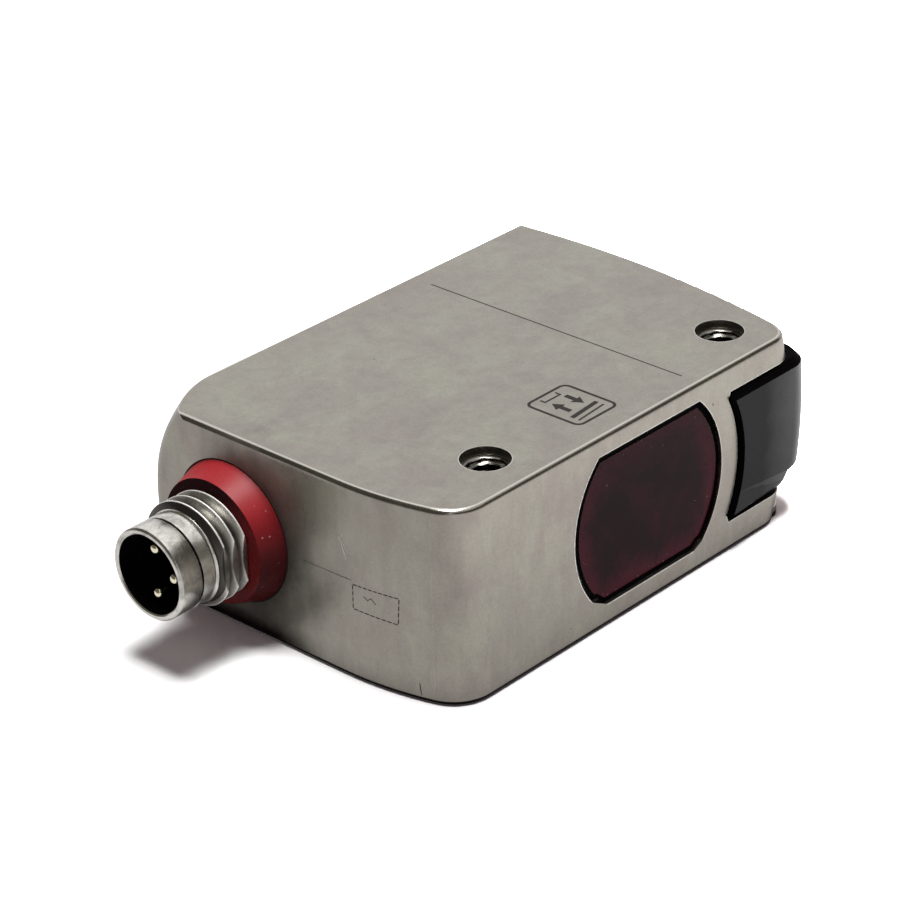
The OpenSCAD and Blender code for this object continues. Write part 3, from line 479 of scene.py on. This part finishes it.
DASH = 0.42
side_start = Vector((low.x / MM, 0, 0))
dashes = []
frame_corners = [(-4.47, 7.55), (-0.61, 7.63), (-0.74, 5.575), (-4.5, 5.64), (-4.47, 7.55)]
for one, two in zip(frame_corners, frame_corners[1:]):
    one = Vector(one)
    two = Vector(two)
    count = int((two - one).length / DASH)
    for k in range(count):
        ends = [tuple(one.lerp(two, (k + share) / count)) for share in (0.1, 0.86)]
        dashes.append((ends, 0.075, False))
etched("stamped_frame", dashes, [], side_start, towards_front, upright, faint_mark)
etched("handling_scratches",
    [([(-9.1, 7.75), (-7.9, 7.76), (-6.4, 7.79), (-4.6, 7.83)], 0.04, False),
     ([(0.76, 1.40), (0.80, 1.0), (0.88, 0.5)], 0.07, False),
     ([(-3.55, 6.9), (-3.2, 6.7), (-2.9, 6.95), (-2.5, 6.6)], 0.05, False)],
    [], side_start, towards_front, upright, faint_mark)
etched("bright_scuffs",
    [([(-5.6, 10.9), (-5.35, 10.4), (-5.2, 9.9), (-4.95, 9.3)], 0.05, False),
     ([(-5.3, 10.6), (-5.0, 10.1)], 0.04, False),
     ([(-5.15, 11.2), (-5.35, 10.95)], 0.04, False)],
    [], side_start, towards_front, upright, bright_scuff_and_highlight)

# Lens window: a flat plate of dark red filter glass behind the lens face, held
# by its flange and a thin black bead of sealant.
filter_glass, tree, shader = material("filter")
low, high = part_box("lens_window")
OPENING_R = 7.85
OPENING_HALF = 5.75
PRINTED = 0.27
spot = xyz_in_mm(tree)
across = maths(tree, "SUBTRACT", spot[0], 0.02)
above = maths(tree, "SUBTRACT", spot[2], (low.z + high.z) / 2 / MM - 0.12)
# Depth in from the arcs and from the straight edges of the opening
inset = maths(tree, "MINIMUM", maths(tree, "SUBTRACT", OPENING_R, distance(tree, across, above)),
    maths(tree, "SUBTRACT", OPENING_HALF, maths(tree, "ABSOLUTE", above)))
# Painted glow: the glass is a brighter red towards the rim, as light that gets in at the edge would make
# it, and in large random clouds
drift = maths(tree, "SUBTRACT", noise(tree, in_mm(tree), 0.3, 3.0, 0.55, 0.8), 0.5)
painted_rim_glow = faded(tree, maths(tree, "ADD", inset, maths(tree, "MULTIPLY", drift, 3.4)), 2.3, 0.7)
cloudy = ramp(tree, noise(tree, in_mm(tree), 0.16, 2.0, 0.5, 1.0), (0.42, 0), (0.62, 0.5))
glow = maths(tree, "MAXIMUM", painted_rim_glow, cloudy)
wine = mixed(tree, glow, (0.070, 0.0090, 0.0160, 1), (0.330, 0.0360, 0.0760, 1))
# The edge of the plate is printed black
printed = maths(tree, "LESS_THAN", inset, PRINTED)
wine = mixed(tree, printed, wine, (0.003, 0.002, 0.002, 1))
dust = placed(tree, specks, Per_mm=0.8, Size=0.075, Share=0.4)["Mask"]
lint = placed(tree, specks, Per_mm=2.4, Size=0.2, Share=0.45)["Mask"]
at_edge = faded(tree, inset, 1.1, 0.1)
dust = maths(tree, "MAXIMUM", dust, maths(tree, "MULTIPLY", lint, at_edge))
smear = ramp(tree, noise(tree, in_mm(tree), 0.5, 4.0, 0.6), (0.4, 0.05), (0.7, 0.12))
tree.links.new(mixed(tree, maths(tree, "MULTIPLY", dust, 0.7), wine, (0.6, 0.5, 0.5, 1)),
    shader.inputs["Base Color"])
tree.links.new(smear, shader.inputs["Roughness"])
shader.inputs["Transmission Weight"].default_value = 0.1
shader.inputs["IOR"].default_value = 1.5
shader.inputs["Specular IOR Level"].default_value = 0.03
finish("lens_window", filter_glass)


def soft_rubber(name, colour, shine, grain_mm=6.0, mirror=0.5):
    made, tree, shader = material(name)
    grain = noise(tree, in_mm(tree), grain_mm, 4.0, 0.6)
    shade = ramp(tree, grain, (0.3, 0.8), (0.7, 1.1))
    tree.links.new(mixed(tree, 1.0, colour, shade, "MULTIPLY"), shader.inputs["Base Color"])
    tree.links.new(maths(tree, "MULTIPLY_ADD", grain, 0.2, shine), shader.inputs["Roughness"])
    shader.inputs["Specular IOR Level"].default_value = mirror
    bump = put(tree, "Bump", {"Height": grain, "Strength": 0.15, "Distance": 0.00004})
    tree.links.new(bump.outputs[0], shader.inputs["Normal"])
    return made


seal_rubber = soft_rubber("seal_rubber", (0.002, 0.0015, 0.0015, 1), 0.6, 6.0, 0.015)
finish("window_seal", seal_rubber)

# The bead shows round the glass as a thin black line, just in front of it
low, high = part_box("window_seal")
centre = Vector(((low.x + high.x) / 2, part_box("housing")[0].y, (low.z + high.z) / 2)) / MM
arc_r = (high.x - low.x) / 2 / MM
flat_h = (high.z - low.z) / 2 / MM
half = (arc_r ** 2 - flat_h ** 2) ** 0.5
BEAD_R = 7.74
BEAD_WIDE = 0.26
bead_path = []
for side in (0, 180):
    for turn in range(-46, 47, 4):
        bead_path.append((BEAD_R * cos(radians(turn + side)), BEAD_R * sin(radians(turn + side))))
bead_at = Vector((centre.x + 0.22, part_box("lens_window")[0].y / MM - 0.03, centre.z - 0.12))
shape = bmesh.new()
rows = [[shape.verts.new((bead_at + Vector((spot.x, 0, spot.y))) * MM) for spot in pair]
    for pair in ribbon(bead_path, BEAD_WIDE, True)]
for row, after in zip(rows, rows[1:] + rows[:1]):
    shape.faces.new((row[0], row[1], after[1], after[0]))
for strip in shape.faces:
    strip.normal_update()
    if strip.normal.y > 0:
        strip.normal_flip()
bead = new_piece("window_bead", shape, seal_rubber)
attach(bead, "body")

# A little of it is squeezed out over the steel at both lower corners
nip = 0.5
left_step = -flat_h + 1.6 * nip
right_step = -flat_h + nip
squeezed = [[(-(arc_r ** 2 - left_step ** 2) ** 0.5, left_step), (-half + 1.6 * nip, -flat_h),
        (-half - 0.2 * nip, left_step + 0.03)],
    [(half - nip, -flat_h), ((arc_r ** 2 - right_step ** 2) ** 0.5, right_step),
        (half + 0.4 * nip, right_step + 0.03)]]
etched("squeezed_sealant", [], squeezed, centre, towards_end, upright, seal_rubber)

# Painted highlight: a bright line along the opening's edge on the connector's side and below
HIGHLIGHT_OUT = 0.05
highlight_arc = []
for turn in range(134, 220, 3):
    highlight_arc.append(((arc_r + HIGHLIGHT_OUT) * cos(radians(turn)), (arc_r + HIGHLIGHT_OUT) * sin(radians(turn))))
highlight_foot = [(-half + 1.6 * nip, -flat_h - HIGHLIGHT_OUT), (half - nip, -flat_h - HIGHLIGHT_OUT)]
etched("window_edge_highlight", [(highlight_arc, 0.07, False), (highlight_foot, 0.06, False)], [],
    centre, towards_end, upright, bright_scuff_and_highlight)

# Optics behind the window: a black glass-filled frame with a large receiver
# lens, a small laser lens, the brass barrel of the laser and its gold-plated
# can, and the image sensor at the far end of the receiver's chamber.
frame_plastic = soft_rubber("frame_plastic", (0.02, 0.02, 0.021, 1), 0.4, 4.0)
finish("optics_frame", frame_plastic)

clear_plastic, tree, shader = material("clear")
haze = noise(tree, in_mm(tree), 1.2, 3.0)
tree.links.new(ramp(tree, haze, (0.3, 0.01), (0.8, 0.06)), shader.inputs["Roughness"])
shader.inputs["Base Color"].default_value = (0.95, 0.96, 0.97, 1)
shader.inputs["Transmission Weight"].default_value = 1.0
shader.inputs["IOR"].default_value = 1.49
for name in ("receiver_lens", "laser_lens", "light_guide"):
    finish(name, clear_plastic)


def plated(name, colour, dull):
    made, tree, shader = material(name)
    blast = placed(tree, blasting, Grain_per_mm=10.0, Clouding=0.4, Tint_A=colour,
        Tint_B=tuple(c * 0.8 for c in colour[:3]) + (1,), Rough_low=dull, Rough_high=dull + 0.12)
    tree.links.new(blast["Color"], shader.inputs["Base Color"])
    tree.links.new(blast["Roughness"], shader.inputs["Roughness"])
    shader.inputs["Metallic"].default_value = 1.0
    return made


brass = plated("brass", (0.72, 0.52, 0.22, 1), 0.25)
gold = plated("gold", (0.95, 0.72, 0.32, 1), 0.16)
finish("laser_barrel", brass)
finish("laser_diode", gold)
chip_black = soft_rubber("chip_black", (0.015, 0.016, 0.02, 1), 0.3, 8.0)
finish("image_sensor", chip_black)

# Electronics: green circuit boards with lacquer over copper, two steel screws,
# two lamps with the clear guide over them, and the switch under the button.
board, tree, shader = material("board")
spot = in_mm(tree)
tracks = put(tree, "TexBrick", {"Vector": spot, "Scale": 1.2, "Mortar Size": 0.03,
    "Color1": (0.01, 0.09, 0.035, 1), "Color2": (0.012, 0.12, 0.045, 1), "Mortar": (0.05, 0.22, 0.08, 1)})
tree.links.new(tracks.outputs["Color"], shader.inputs["Base Color"])
tree.links.new(ramp(tree, noise(tree, spot, 3.0), (0.3, 0.25), (0.7, 0.4)), shader.inputs["Roughness"])
for name in ("main_board", "indicator_board", "connector_board"):
    finish(name, board)
finish("board_screws", turned_steel)

lamp, tree, shader = material("lamp")
gloss = ramp(tree, noise(tree, in_mm(tree), 4.0), (0.3, 0.2), (0.7, 0.35))
tree.links.new(gloss, shader.inputs["Roughness"])
tree.links.new(mixed(tree, noise(tree, in_mm(tree), 2.0), (0.85, 0.75, 0.4, 1), (0.75, 0.68, 0.4, 1)),
    shader.inputs["Base Color"])
finish("indicator_leds", lamp)
finish("tact_switch", chip_black)
finish("switch_plunger", soft_rubber("plunger_cream", (0.6, 0.55, 0.42, 1), 0.4))

# Set button: a dark grey moulded button that stands just out of the cover's
# end face, kept in by its flange.
button_grey = soft_rubber("button_grey", (0.07, 0.07, 0.075, 1), 0.35, 9.0)
finish("teach_button", button_grey)

# Indicator cover: one moulding of smoked, nearly black plastic round the front
# corner and the end, glossy, with a little dust on it and rubbed edges.
smoke, tree, shader = material("smoke")
wear = placed(tree, edge_wear, Width_mm=0.2, Patchiness=0.9)["Mask"]
dust = placed(tree, specks, Per_mm=1.1, Size=0.045, Share=0.15)["Mask"]
cloud = noise(tree, in_mm(tree), 0.35, 4.0, 0.6)
base = mixed(tree, cloud, (0.010, 0.010, 0.015, 1), (0.020, 0.020, 0.026, 1))
# Painted reflection: the steep faces round the far corner are lighter grey
spot = xyz_in_mm(tree)
painted_cover_sheen = maths(tree, "MULTIPLY", faded(tree, maths(tree, "MULTIPLY_ADD", cloud, 2.0, spot[0]), 13.4, 18.4),
    faded(tree, normal_xyz(tree)[2], 0.7, 0.1))
painted_cover_sheen = maths(tree, "MULTIPLY", painted_cover_sheen, 0.8)
base = mixed(tree, painted_cover_sheen, base, (0.12, 0.12, 0.12, 1))
tree.links.new(painted_cover_sheen, shader.inputs["Coat Weight"])
shader.inputs["Coat Roughness"].default_value = 0.3
base = mixed(tree, maths(tree, "MULTIPLY", wear, 0.12), base, (0.08, 0.08, 0.08, 1))
# The two halves of the mould met in an upright line
SEAM_X = 12.1
seam = maths(tree, "LESS_THAN", maths(tree, "ABSOLUTE", maths(tree, "SUBTRACT", spot[0], SEAM_X)), 0.06)
base = mixed(tree, maths(tree, "MULTIPLY", seam, 0.9), base, (0.0005, 0.0005, 0.0005, 1))
tree.links.new(mixed(tree, maths(tree, "MULTIPLY", dust, 0.5), base, (0.25, 0.25, 0.25, 1)),
    shader.inputs["Base Color"])
tree.links.new(ramp(tree, cloud, (0.3, 0.22), (0.7, 0.34)), shader.inputs["Roughness"])
shader.inputs["IOR"].default_value = 1.5
shader.inputs["Specular IOR Level"].default_value = 0.11

# The lowest corner beside the lens face is pressed back to a slant
SLANT_AT = Vector((16.33, -4.42, 4.13)) * MM
SLANT_OUT = Vector((0.25, -0.816, -0.522))
shape = bmesh.new()
shape.from_mesh(parts["indicator_cover"].data)
for spot in shape.verts:
    proud = SLANT_OUT.dot(spot.co - SLANT_AT)
    if proud > 0 and spot.co.x > 11 * MM and spot.co.y < 1 * MM:
        spot.co -= SLANT_OUT * proud
cover = new_piece("cut_cover", shape, smoke, seal_rubber)
# Painted dark reflection: the bevels beside the steel take the black seal rubber, so they stay black
for strip in cover.data.polygons:
    if strip.normal.x < -0.12 or (strip.normal.z > 0.25 and strip.center.x < 17.5 * MM):
        strip.material_index = 1
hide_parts("indicator_cover")
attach(cover, "body")
finish("cover_seal", seal_rubber)

# Connector: turned from one stainless bar. A neck through the case wall, an
# M8 x 1 coupling thread with a flat filed down one side, a groove and a thin
# nose round the socket. The thread runs out at both ends as on a real lathe.
low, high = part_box("connector_shell")
ring_low, ring_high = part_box("collar_ring")
face = ring_high.x
axis_y = (ring_low.y + ring_high.y) / 2
axis_z = (ring_low.z + ring_high.z) / 2
THREAD_M8 = dict(pitch=0.98, major=4.0, minor=3.4, start=1.95, end=4.7, flat=3.55, first=2.62)
SHOULDER = 4.92
GROOVE = 6.11
SOCKET_DEEP = 4.6
nose = 3.425
bore = 2.975
rim = (face - low.x) / MM
crest = 0.07
flank = 0.4
profile = [(-crest / 2, 1.0), (crest / 2, 1.0)]
profile += [(crest / 2 + flank * k / 8, 1 - k / 8) for k in range(1, 9)]
profile += [(1 - crest / 2 - flank * (8 - k) / 8, k / 8) for k in range(8)]
turns = range(-2, 4)
sides = 160
shape = bmesh.new()


def round_axis(out, r, k):
    turn = 2 * pi * k / sides
    aside = -cos(turn)
    if aside * r > THREAD_M8["flat"]:
        r = THREAD_M8["flat"] / aside
    return shape.verts.new((face - out * MM, axis_y + r * MM * cos(turn), axis_z + r * MM * sin(turn)))


# Each row of the thread follows the helix, one pitch further in after a turn
rows = []
for n in turns:
    for share, wave in profile:
        row = []
        for k in range(sides + 1):
            out = THREAD_M8["first"] + THREAD_M8["pitch"] * (n + share - k / sides)
            r = THREAD_M8["minor"] + wave * (THREAD_M8["major"] - THREAD_M8["minor"])
            r = min(r, THREAD_M8["minor"] + max(0.0, out - THREAD_M8["start"]) * 4)
            r = min(r, nose + 0.06 + max(0.0, THREAD_M8["end"] - out) * 2.2)
            if out <= THREAD_M8["start"] or out >= THREAD_M8["end"]:
                r = THREAD_M8["minor"] if out <= THREAD_M8["start"] else nose + 0.06
            row.append(round_axis(min(max(out, THREAD_M8["start"]), THREAD_M8["end"]), r, k))
        rows.append(row)
for row, after in zip(rows, rows[1:]):
    for k in range(sides):
        shape.faces.new((row[k], row[k + 1], after[k + 1], after[k]))

# Collar edge, groove and nose, then back down the bore and round the neck
inner_end = -(high.x - face) / MM
outline = [(THREAD_M8["end"], nose + 0.06), (SHOULDER - 0.1, nose), (SHOULDER - 0.04, nose - 0.1),
    (SHOULDER + 0.04, nose - 0.1), (SHOULDER + 0.06, nose), (GROOVE - 0.08, nose),
    (GROOVE - 0.05, nose - 0.16), (GROOVE + 0.05, nose - 0.16), (GROOVE + 0.08, nose - 0.02),
    (GROOVE + 0.12, nose), (rim - 0.14, nose), (rim - 0.03, nose - 0.09), (rim, nose - 0.16),
    (rim, bore + 0.1), (rim - 0.08, bore), (rim - SOCKET_DEEP, bore), (inner_end, bore),
    (inner_end, THREAD_M8["minor"]), (THREAD_M8["start"], THREAD_M8["minor"])]
rows = [[round_axis(out, r, k) for k in range(sides)] for out, r in outline]
for row, after in zip(rows, rows[1:]):
    for k in range(sides):
        nxt = (k + 1) % sides
        shape.faces.new((row[k], row[nxt], after[nxt], after[k]))
bmesh.ops.remove_doubles(shape, verts=shape.verts, dist=0.000001)
bmesh.ops.recalc_face_normals(shape, faces=shape.faces)
plug = new_piece("plug_connector", shape)
smoothed(plug, 35)

plug_steel, tree, shader = material("plug_steel")
blast = placed(tree, blasting, Grain_per_mm=9.0, Cloud_per_mm=0.8, Clouding=0.7,
    Tint_A=(0.76, 0.74, 0.69, 1), Tint_B=(0.60, 0.58, 0.54, 1), Rough_low=0.2, Rough_high=0.3)
smudge = ramp(tree, noise(tree, in_mm(tree), 0.75, 5.0, 0.7, 0.7), (0.36, 0.62), (0.56, 1.04))
handled = mixed(tree, 1.0, blast["Color"], smudge, "MULTIPLY")
spot = xyz_in_mm(tree)
from_axis = distance(tree, maths(tree, "SUBTRACT", spot[1], axis_y / MM),
    maths(tree, "SUBTRACT", spot[2], axis_z / MM))
out = maths(tree, "SUBTRACT", face / MM, spot[0])
in_thread = maths(tree, "LESS_THAN", out, THREAD_M8["end"] - 0.01)
# Painted shade in the roots of the thread and on its first flank, and a painted highlight on its crests
root = faded(tree, from_axis, 3.5, 3.97, 1.0, 0.0)
painted_flank_shade = maths(tree, "MULTIPLY", maths(tree, "GREATER_THAN", out, 4.2),
    maths(tree, "LESS_THAN", from_axis, 3.95))
root = maths(tree, "MAXIMUM", root, maths(tree, "MULTIPLY", painted_flank_shade, 1.15))
root_shaded = mixed(tree, maths(tree, "MULTIPLY", maths(tree, "MULTIPLY", root, in_thread), 0.85), handled,
    (0.070, 0.063, 0.056, 1))
painted_crest_highlight = maths(tree, "MULTIPLY", in_thread, maths(tree, "GREATER_THAN", from_axis, 3.955))
root_shaded = mixed(tree, painted_crest_highlight, root_shaded, (1.0, 0.98, 0.95, 1))
# Painted shade inside the two cut grooves
groove_shade = maths(tree, "LESS_THAN", maths(tree, "ABSOLUTE", maths(tree, "SUBTRACT", out, GROOVE)), 0.07)
shoulder_shade = maths(tree, "LESS_THAN", maths(tree, "ABSOLUTE",
    maths(tree, "SUBTRACT", out, SHOULDER)), 0.05)
in_grooves = maths(tree, "MULTIPLY", maths(tree, "MAXIMUM", groove_shade, shoulder_shade), 0.92)
tree.links.new(mixed(tree, in_grooves, root_shaded, (0.012, 0.011, 0.01, 1)), shader.inputs["Base Color"])
tree.links.new(maths(tree, "MULTIPLY_ADD", painted_crest_highlight, 0.2, maths(tree, "MULTIPLY_ADD", in_thread, 0.12,
    blast["Roughness"])), shader.inputs["Roughness"])
shader.inputs["Metallic"].default_value = 1.0
bump = put(tree, "Bump", {"Height": blast["Height"], "Strength": 0.015, "Distance": 0.00004})
tree.links.new(bump.outputs[0], shader.inputs["Normal"])
plug.data.materials.append(plug_steel)

# The bore is lined by the black moulding that holds the pins
insert_black = soft_rubber("insert_black", (0.0015, 0.0015, 0.0015, 1), 0.75, 6.0, 0.05)
plug.data.materials.append(insert_black)
for strip in plug.data.polygons:
    middle = strip.center
    if Vector((middle.y - axis_y, middle.z - axis_z)).length < (bore + 0.04) * MM:
        strip.material_index = 1
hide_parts("connector_shell")
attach(plug, "body")
finish("connector_nut", plated("nut_brass", (0.75, 0.68, 0.5, 1), 0.25))

# Collar: a soft red silicone ring squeezed between the thread and the case,
# with an O-ring inside it. It takes up dust and small chips of metal.
collar_rubber, tree, shader = material("collar_rubber")
grain = noise(tree, in_mm(tree), 7.0, 4.0, 0.6)
cloud = noise(tree, in_mm(tree), 0.7, 4.0, 0.6)
dust = placed(tree, specks, Per_mm=2.0, Size=0.14, Share=0.35)["Mask"]
red = mixed(tree, cloud, (0.44, 0.030, 0.036, 1), (0.38, 0.023, 0.029, 1))
red = mixed(tree, 1.0, red, ramp(tree, grain, (0.3, 0.85), (0.7, 1.08)), "MULTIPLY")
# The side that faces down to the front lies in the connector's shade
normal = normal_xyz(tree)
turned = maths(tree, "ADD", maths(tree, "MULTIPLY", normal[1], -0.75),
    maths(tree, "MULTIPLY", normal[2], -0.66))
shaded = faded(tree, turned, 0.05, 0.65, 0.0, 0.72)
red = mixed(tree, shaded, red, (0.10, 0.006, 0.010, 1))
# Painted shade on the front ring, darkest over the thread
place = xyz_in_mm(tree)
off_y = maths(tree, "SUBTRACT", place[1], axis_y / MM)
off_z = maths(tree, "SUBTRACT", place[2], axis_z / MM)
lower = maths(tree, "ADD", maths(tree, "MULTIPLY", off_y, -0.75), maths(tree, "MULTIPLY", off_z, -0.66))
ahead = ramp(tree, maths(tree, "MULTIPLY", normal[0], -1.0), (0.7, 0), (0.9, 1))
painted_ring_shade = maths(tree, "MULTIPLY", ahead, faded(tree, lower, -1.5, 3.5, 0.95, 0.0))
red = mixed(tree, painted_ring_shade, red, (0.012, 0.002, 0.003, 1))
dust = maths(tree, "MULTIPLY", dust, maths(tree, "MULTIPLY_ADD", shaded, 0.8, 0.06))
tree.links.new(mixed(tree, dust, red, (0.8, 0.6, 0.55, 1)), shader.inputs["Base Color"])
tree.links.new(maths(tree, "MULTIPLY_ADD", painted_ring_shade, 0.5, maths(tree, "MULTIPLY_ADD", grain, 0.15, 0.34)),
    shader.inputs["Roughness"])
shader.inputs["Specular IOR Level"].default_value = 0.2
bump = put(tree, "Bump", {"Height": grain, "Strength": 0.12, "Distance": 0.00004})
tree.links.new(bump.outputs[0], shader.inputs["Normal"])
finish("collar_ring", collar_rubber)
finish("connector_oring", seal_rubber)

# Contact insert: a black moulding that holds three gold-plated pins with round
# tips, with the connector board and its amber lead behind it.
finish("connector_insert", insert_black)
shape = bmesh.new()
low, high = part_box("contact_pins")
PIN_R = 0.4
PIN_CIRCLE = 1.75
pin_sides = 40
for aside, above in ((0, PIN_CIRCLE), (-PIN_CIRCLE, 0), (0, -PIN_CIRCLE)):
    stations = [(high.x, PIN_R), (low.x + 0.02 * MM, PIN_R)]
    stations += [(low.x + (0.02 - 0.32 * sin(radians(turn))) * MM, PIN_R * cos(radians(turn)))
        for turn in (12, 24, 36, 48, 60, 72, 82)]
    rows = [[shape.verts.new((x, axis_y + (aside + r * cos(2 * pi * k / pin_sides)) * MM,
        axis_z + (above + r * sin(2 * pi * k / pin_sides)) * MM)) for k in range(pin_sides)]
        for x, r in stations]
    for row, after in zip(rows, rows[1:]):
        for k in range(pin_sides):
            nxt = (k + 1) % pin_sides
            shape.faces.new((row[k], row[nxt], after[nxt], after[k]))
    shape.faces.new(rows[0])
    shape.faces.new(rows[-1])
bmesh.ops.recalc_face_normals(shape, faces=shape.faces)
pins = new_piece("round_pins", shape)
smoothed(pins, 50)
pins.data.materials.append(plated("pin_gold", (0.98, 0.92, 0.70, 1), 0.1))
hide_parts("contact_pins")
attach(pins, "body")
finish("flex_lead", plated("flex", (0.6, 0.35, 0.12, 1), 0.4))

# Studio: a pale floor that stays white round the object, in a white room with
# one square lamp overhead.
floor_shape = bmesh.new()
bmesh.ops.create_grid(floor_shape, x_segments=4, y_segments=4, size=3.0)
studio_floor = new_piece("studio_floor", floor_shape)
studio_floor.location.z = -0.00002
floor_paper, tree, shader = material("floor_paper")
tree.nodes.remove(shader)
path = put(tree, "LightPath").outputs
mirrored = maths(tree, "MAXIMUM", path["Is Glossy Ray"], path["Is Transmission Ray"])
seen = maths(tree, "MAXIMUM", path["Is Camera Ray"], mirrored)
# In reflections the paper grows brighter towards the front and the indicator end
here = put(tree, "NewGeometry").outputs["Position"]
place = put(tree, "SeparateXYZ", {0: here}).outputs
near_far = maths(tree, "ADD", maths(tree, "MULTIPLY_ADD", place[0], 8.0, 0.61),
    maths(tree, "MULTIPLY", place[1], -20.0))
near_far = put(tree, "Clamp", {"Value": near_far, "Min": 0.69, "Max": 1.16}).outputs[0]
# Seen directly, its shadow is thinner at the indicator end
lighter = faded(tree, place[0], 0.008, 0.02, 1.45, 5.0)
whiteness = maths(tree, "ADD", maths(tree, "MULTIPLY_ADD", path["Is Camera Ray"], lighter, 0.08),
    maths(tree, "MULTIPLY", mirrored, near_far))
paper = put(tree, "BsdfDiffuse", {"Color": whiteness})
# Far off, where the lamp no longer reaches, it is white by itself
far_off = faded(tree, put(tree, "VectorMath", {0: here}, operation="LENGTH").outputs["Value"], 0.12, 0.45)
own_white = maths(tree, "ADD", maths(tree, "MULTIPLY", far_off, path["Is Camera Ray"]),
    maths(tree, "MULTIPLY", seen, 0.02))
glow = put(tree, "Emission", {"Color": (1, 1, 1, 1), "Strength": own_white})
both = put(tree, "AddShader")
tree.links.new(paper.outputs[0], both.inputs[0])
tree.links.new(glow.outputs[0], both.inputs[1])
tree.links.new(both.outputs[0], tree.nodes["Material Output"].inputs["Surface"])
studio_floor.data.materials.append(floor_paper)

world = bpy.data.worlds.new("studio")
bpy.context.scene.world = world
world.use_nodes = True
tree = world.node_tree
path = put(tree, "LightPath").outputs
seen = maths(tree, "MAXIMUM", path["Is Camera Ray"], maths(tree, "MAXIMUM", path["Is Glossy Ray"],
    path["Is Transmission Ray"]))
fill = maths(tree, "MULTIPLY_ADD", seen, 0.94, 0.06)
tree.links.new(fill, tree.nodes["Background"].inputs["Strength"])
tint = mixed(tree, seen, (1, 0.72, 0.80, 1), (1, 1, 1, 1))
tree.links.new(tint, tree.nodes["Background"].inputs["Color"])

overhead = bpy.data.lights.new("overhead", "AREA")
overhead.shape = "RECTANGLE"
overhead.size = 0.2
overhead.size_y = 0.2
overhead.energy = 3.1
lamp_place = Vector((-0.01, -0.01, 0.55))
lamp_stand = bpy.data.objects.new("overhead", overhead)
bpy.context.scene.collection.objects.link(lamp_stand)
lamp_stand.location = lamp_place
lamp_stand.rotation_euler = (-lamp_place).to_track_quat("-Z", "Y").to_euler()

# Black cards on the camera's side, seen only in reflections: they give the
# rounded rims, the thread and the plastic their dark lines. A gap between them
# leaves a bright slit in the round holes.
card_paper, tree, shader = material("card_paper")
shader.inputs["Base Color"].default_value = (0.01, 0.01, 0.01, 1)
shader.inputs["Roughness"].default_value = 1.0
shader.inputs["Specular IOR Level"].default_value = 0.0
shader.inputs["Emission Color"].default_value = (1, 0.96, 0.8, 1)
shader.inputs["Emission Strength"].default_value = 0.11


def black_card(name, first, last, lowest, highest, away=0.7):
    shape = bmesh.new()
    rows = []
    for j in range(9):
        rise = radians(lowest + (highest - lowest) * j / 8)
        row = []
        for k in range(25):
            turn = radians(first + (last - first) * k / 24)
            row.append(shape.verts.new((away * cos(rise) * cos(turn), away * cos(rise) * sin(turn),
                away * sin(rise))))
        rows.append(row)
    for row, over in zip(rows, rows[1:]):
        for k in range(24):
            shape.faces.new((row[k], row[k + 1], over[k + 1], over[k]))
    card = new_piece(name, shape, card_paper)
    card.visible_camera = False
    card.visible_diffuse = False
    card.visible_shadow = False
    card.visible_transmission = False


black_card("card_left", 95, 216, 0, 72)
black_card("card_right", 226, 350, 8, 44)

camera_data = bpy.data.cameras.new("camera")
camera_data.lens = 131.26
camera_data.sensor_width = 36.0
camera_data.clip_start = 0.01
camera = bpy.data.objects.new("camera", camera_data)
bpy.context.scene.collection.objects.link(camera)
camera.location = (-0.15647, -0.13103, 0.11924)
camera.rotation_euler = (radians(61.994), radians(1.430), radians(-47.719))
bpy.context.scene.camera = camera
bpy.context.scene.view_settings.view_transform = "Standard"
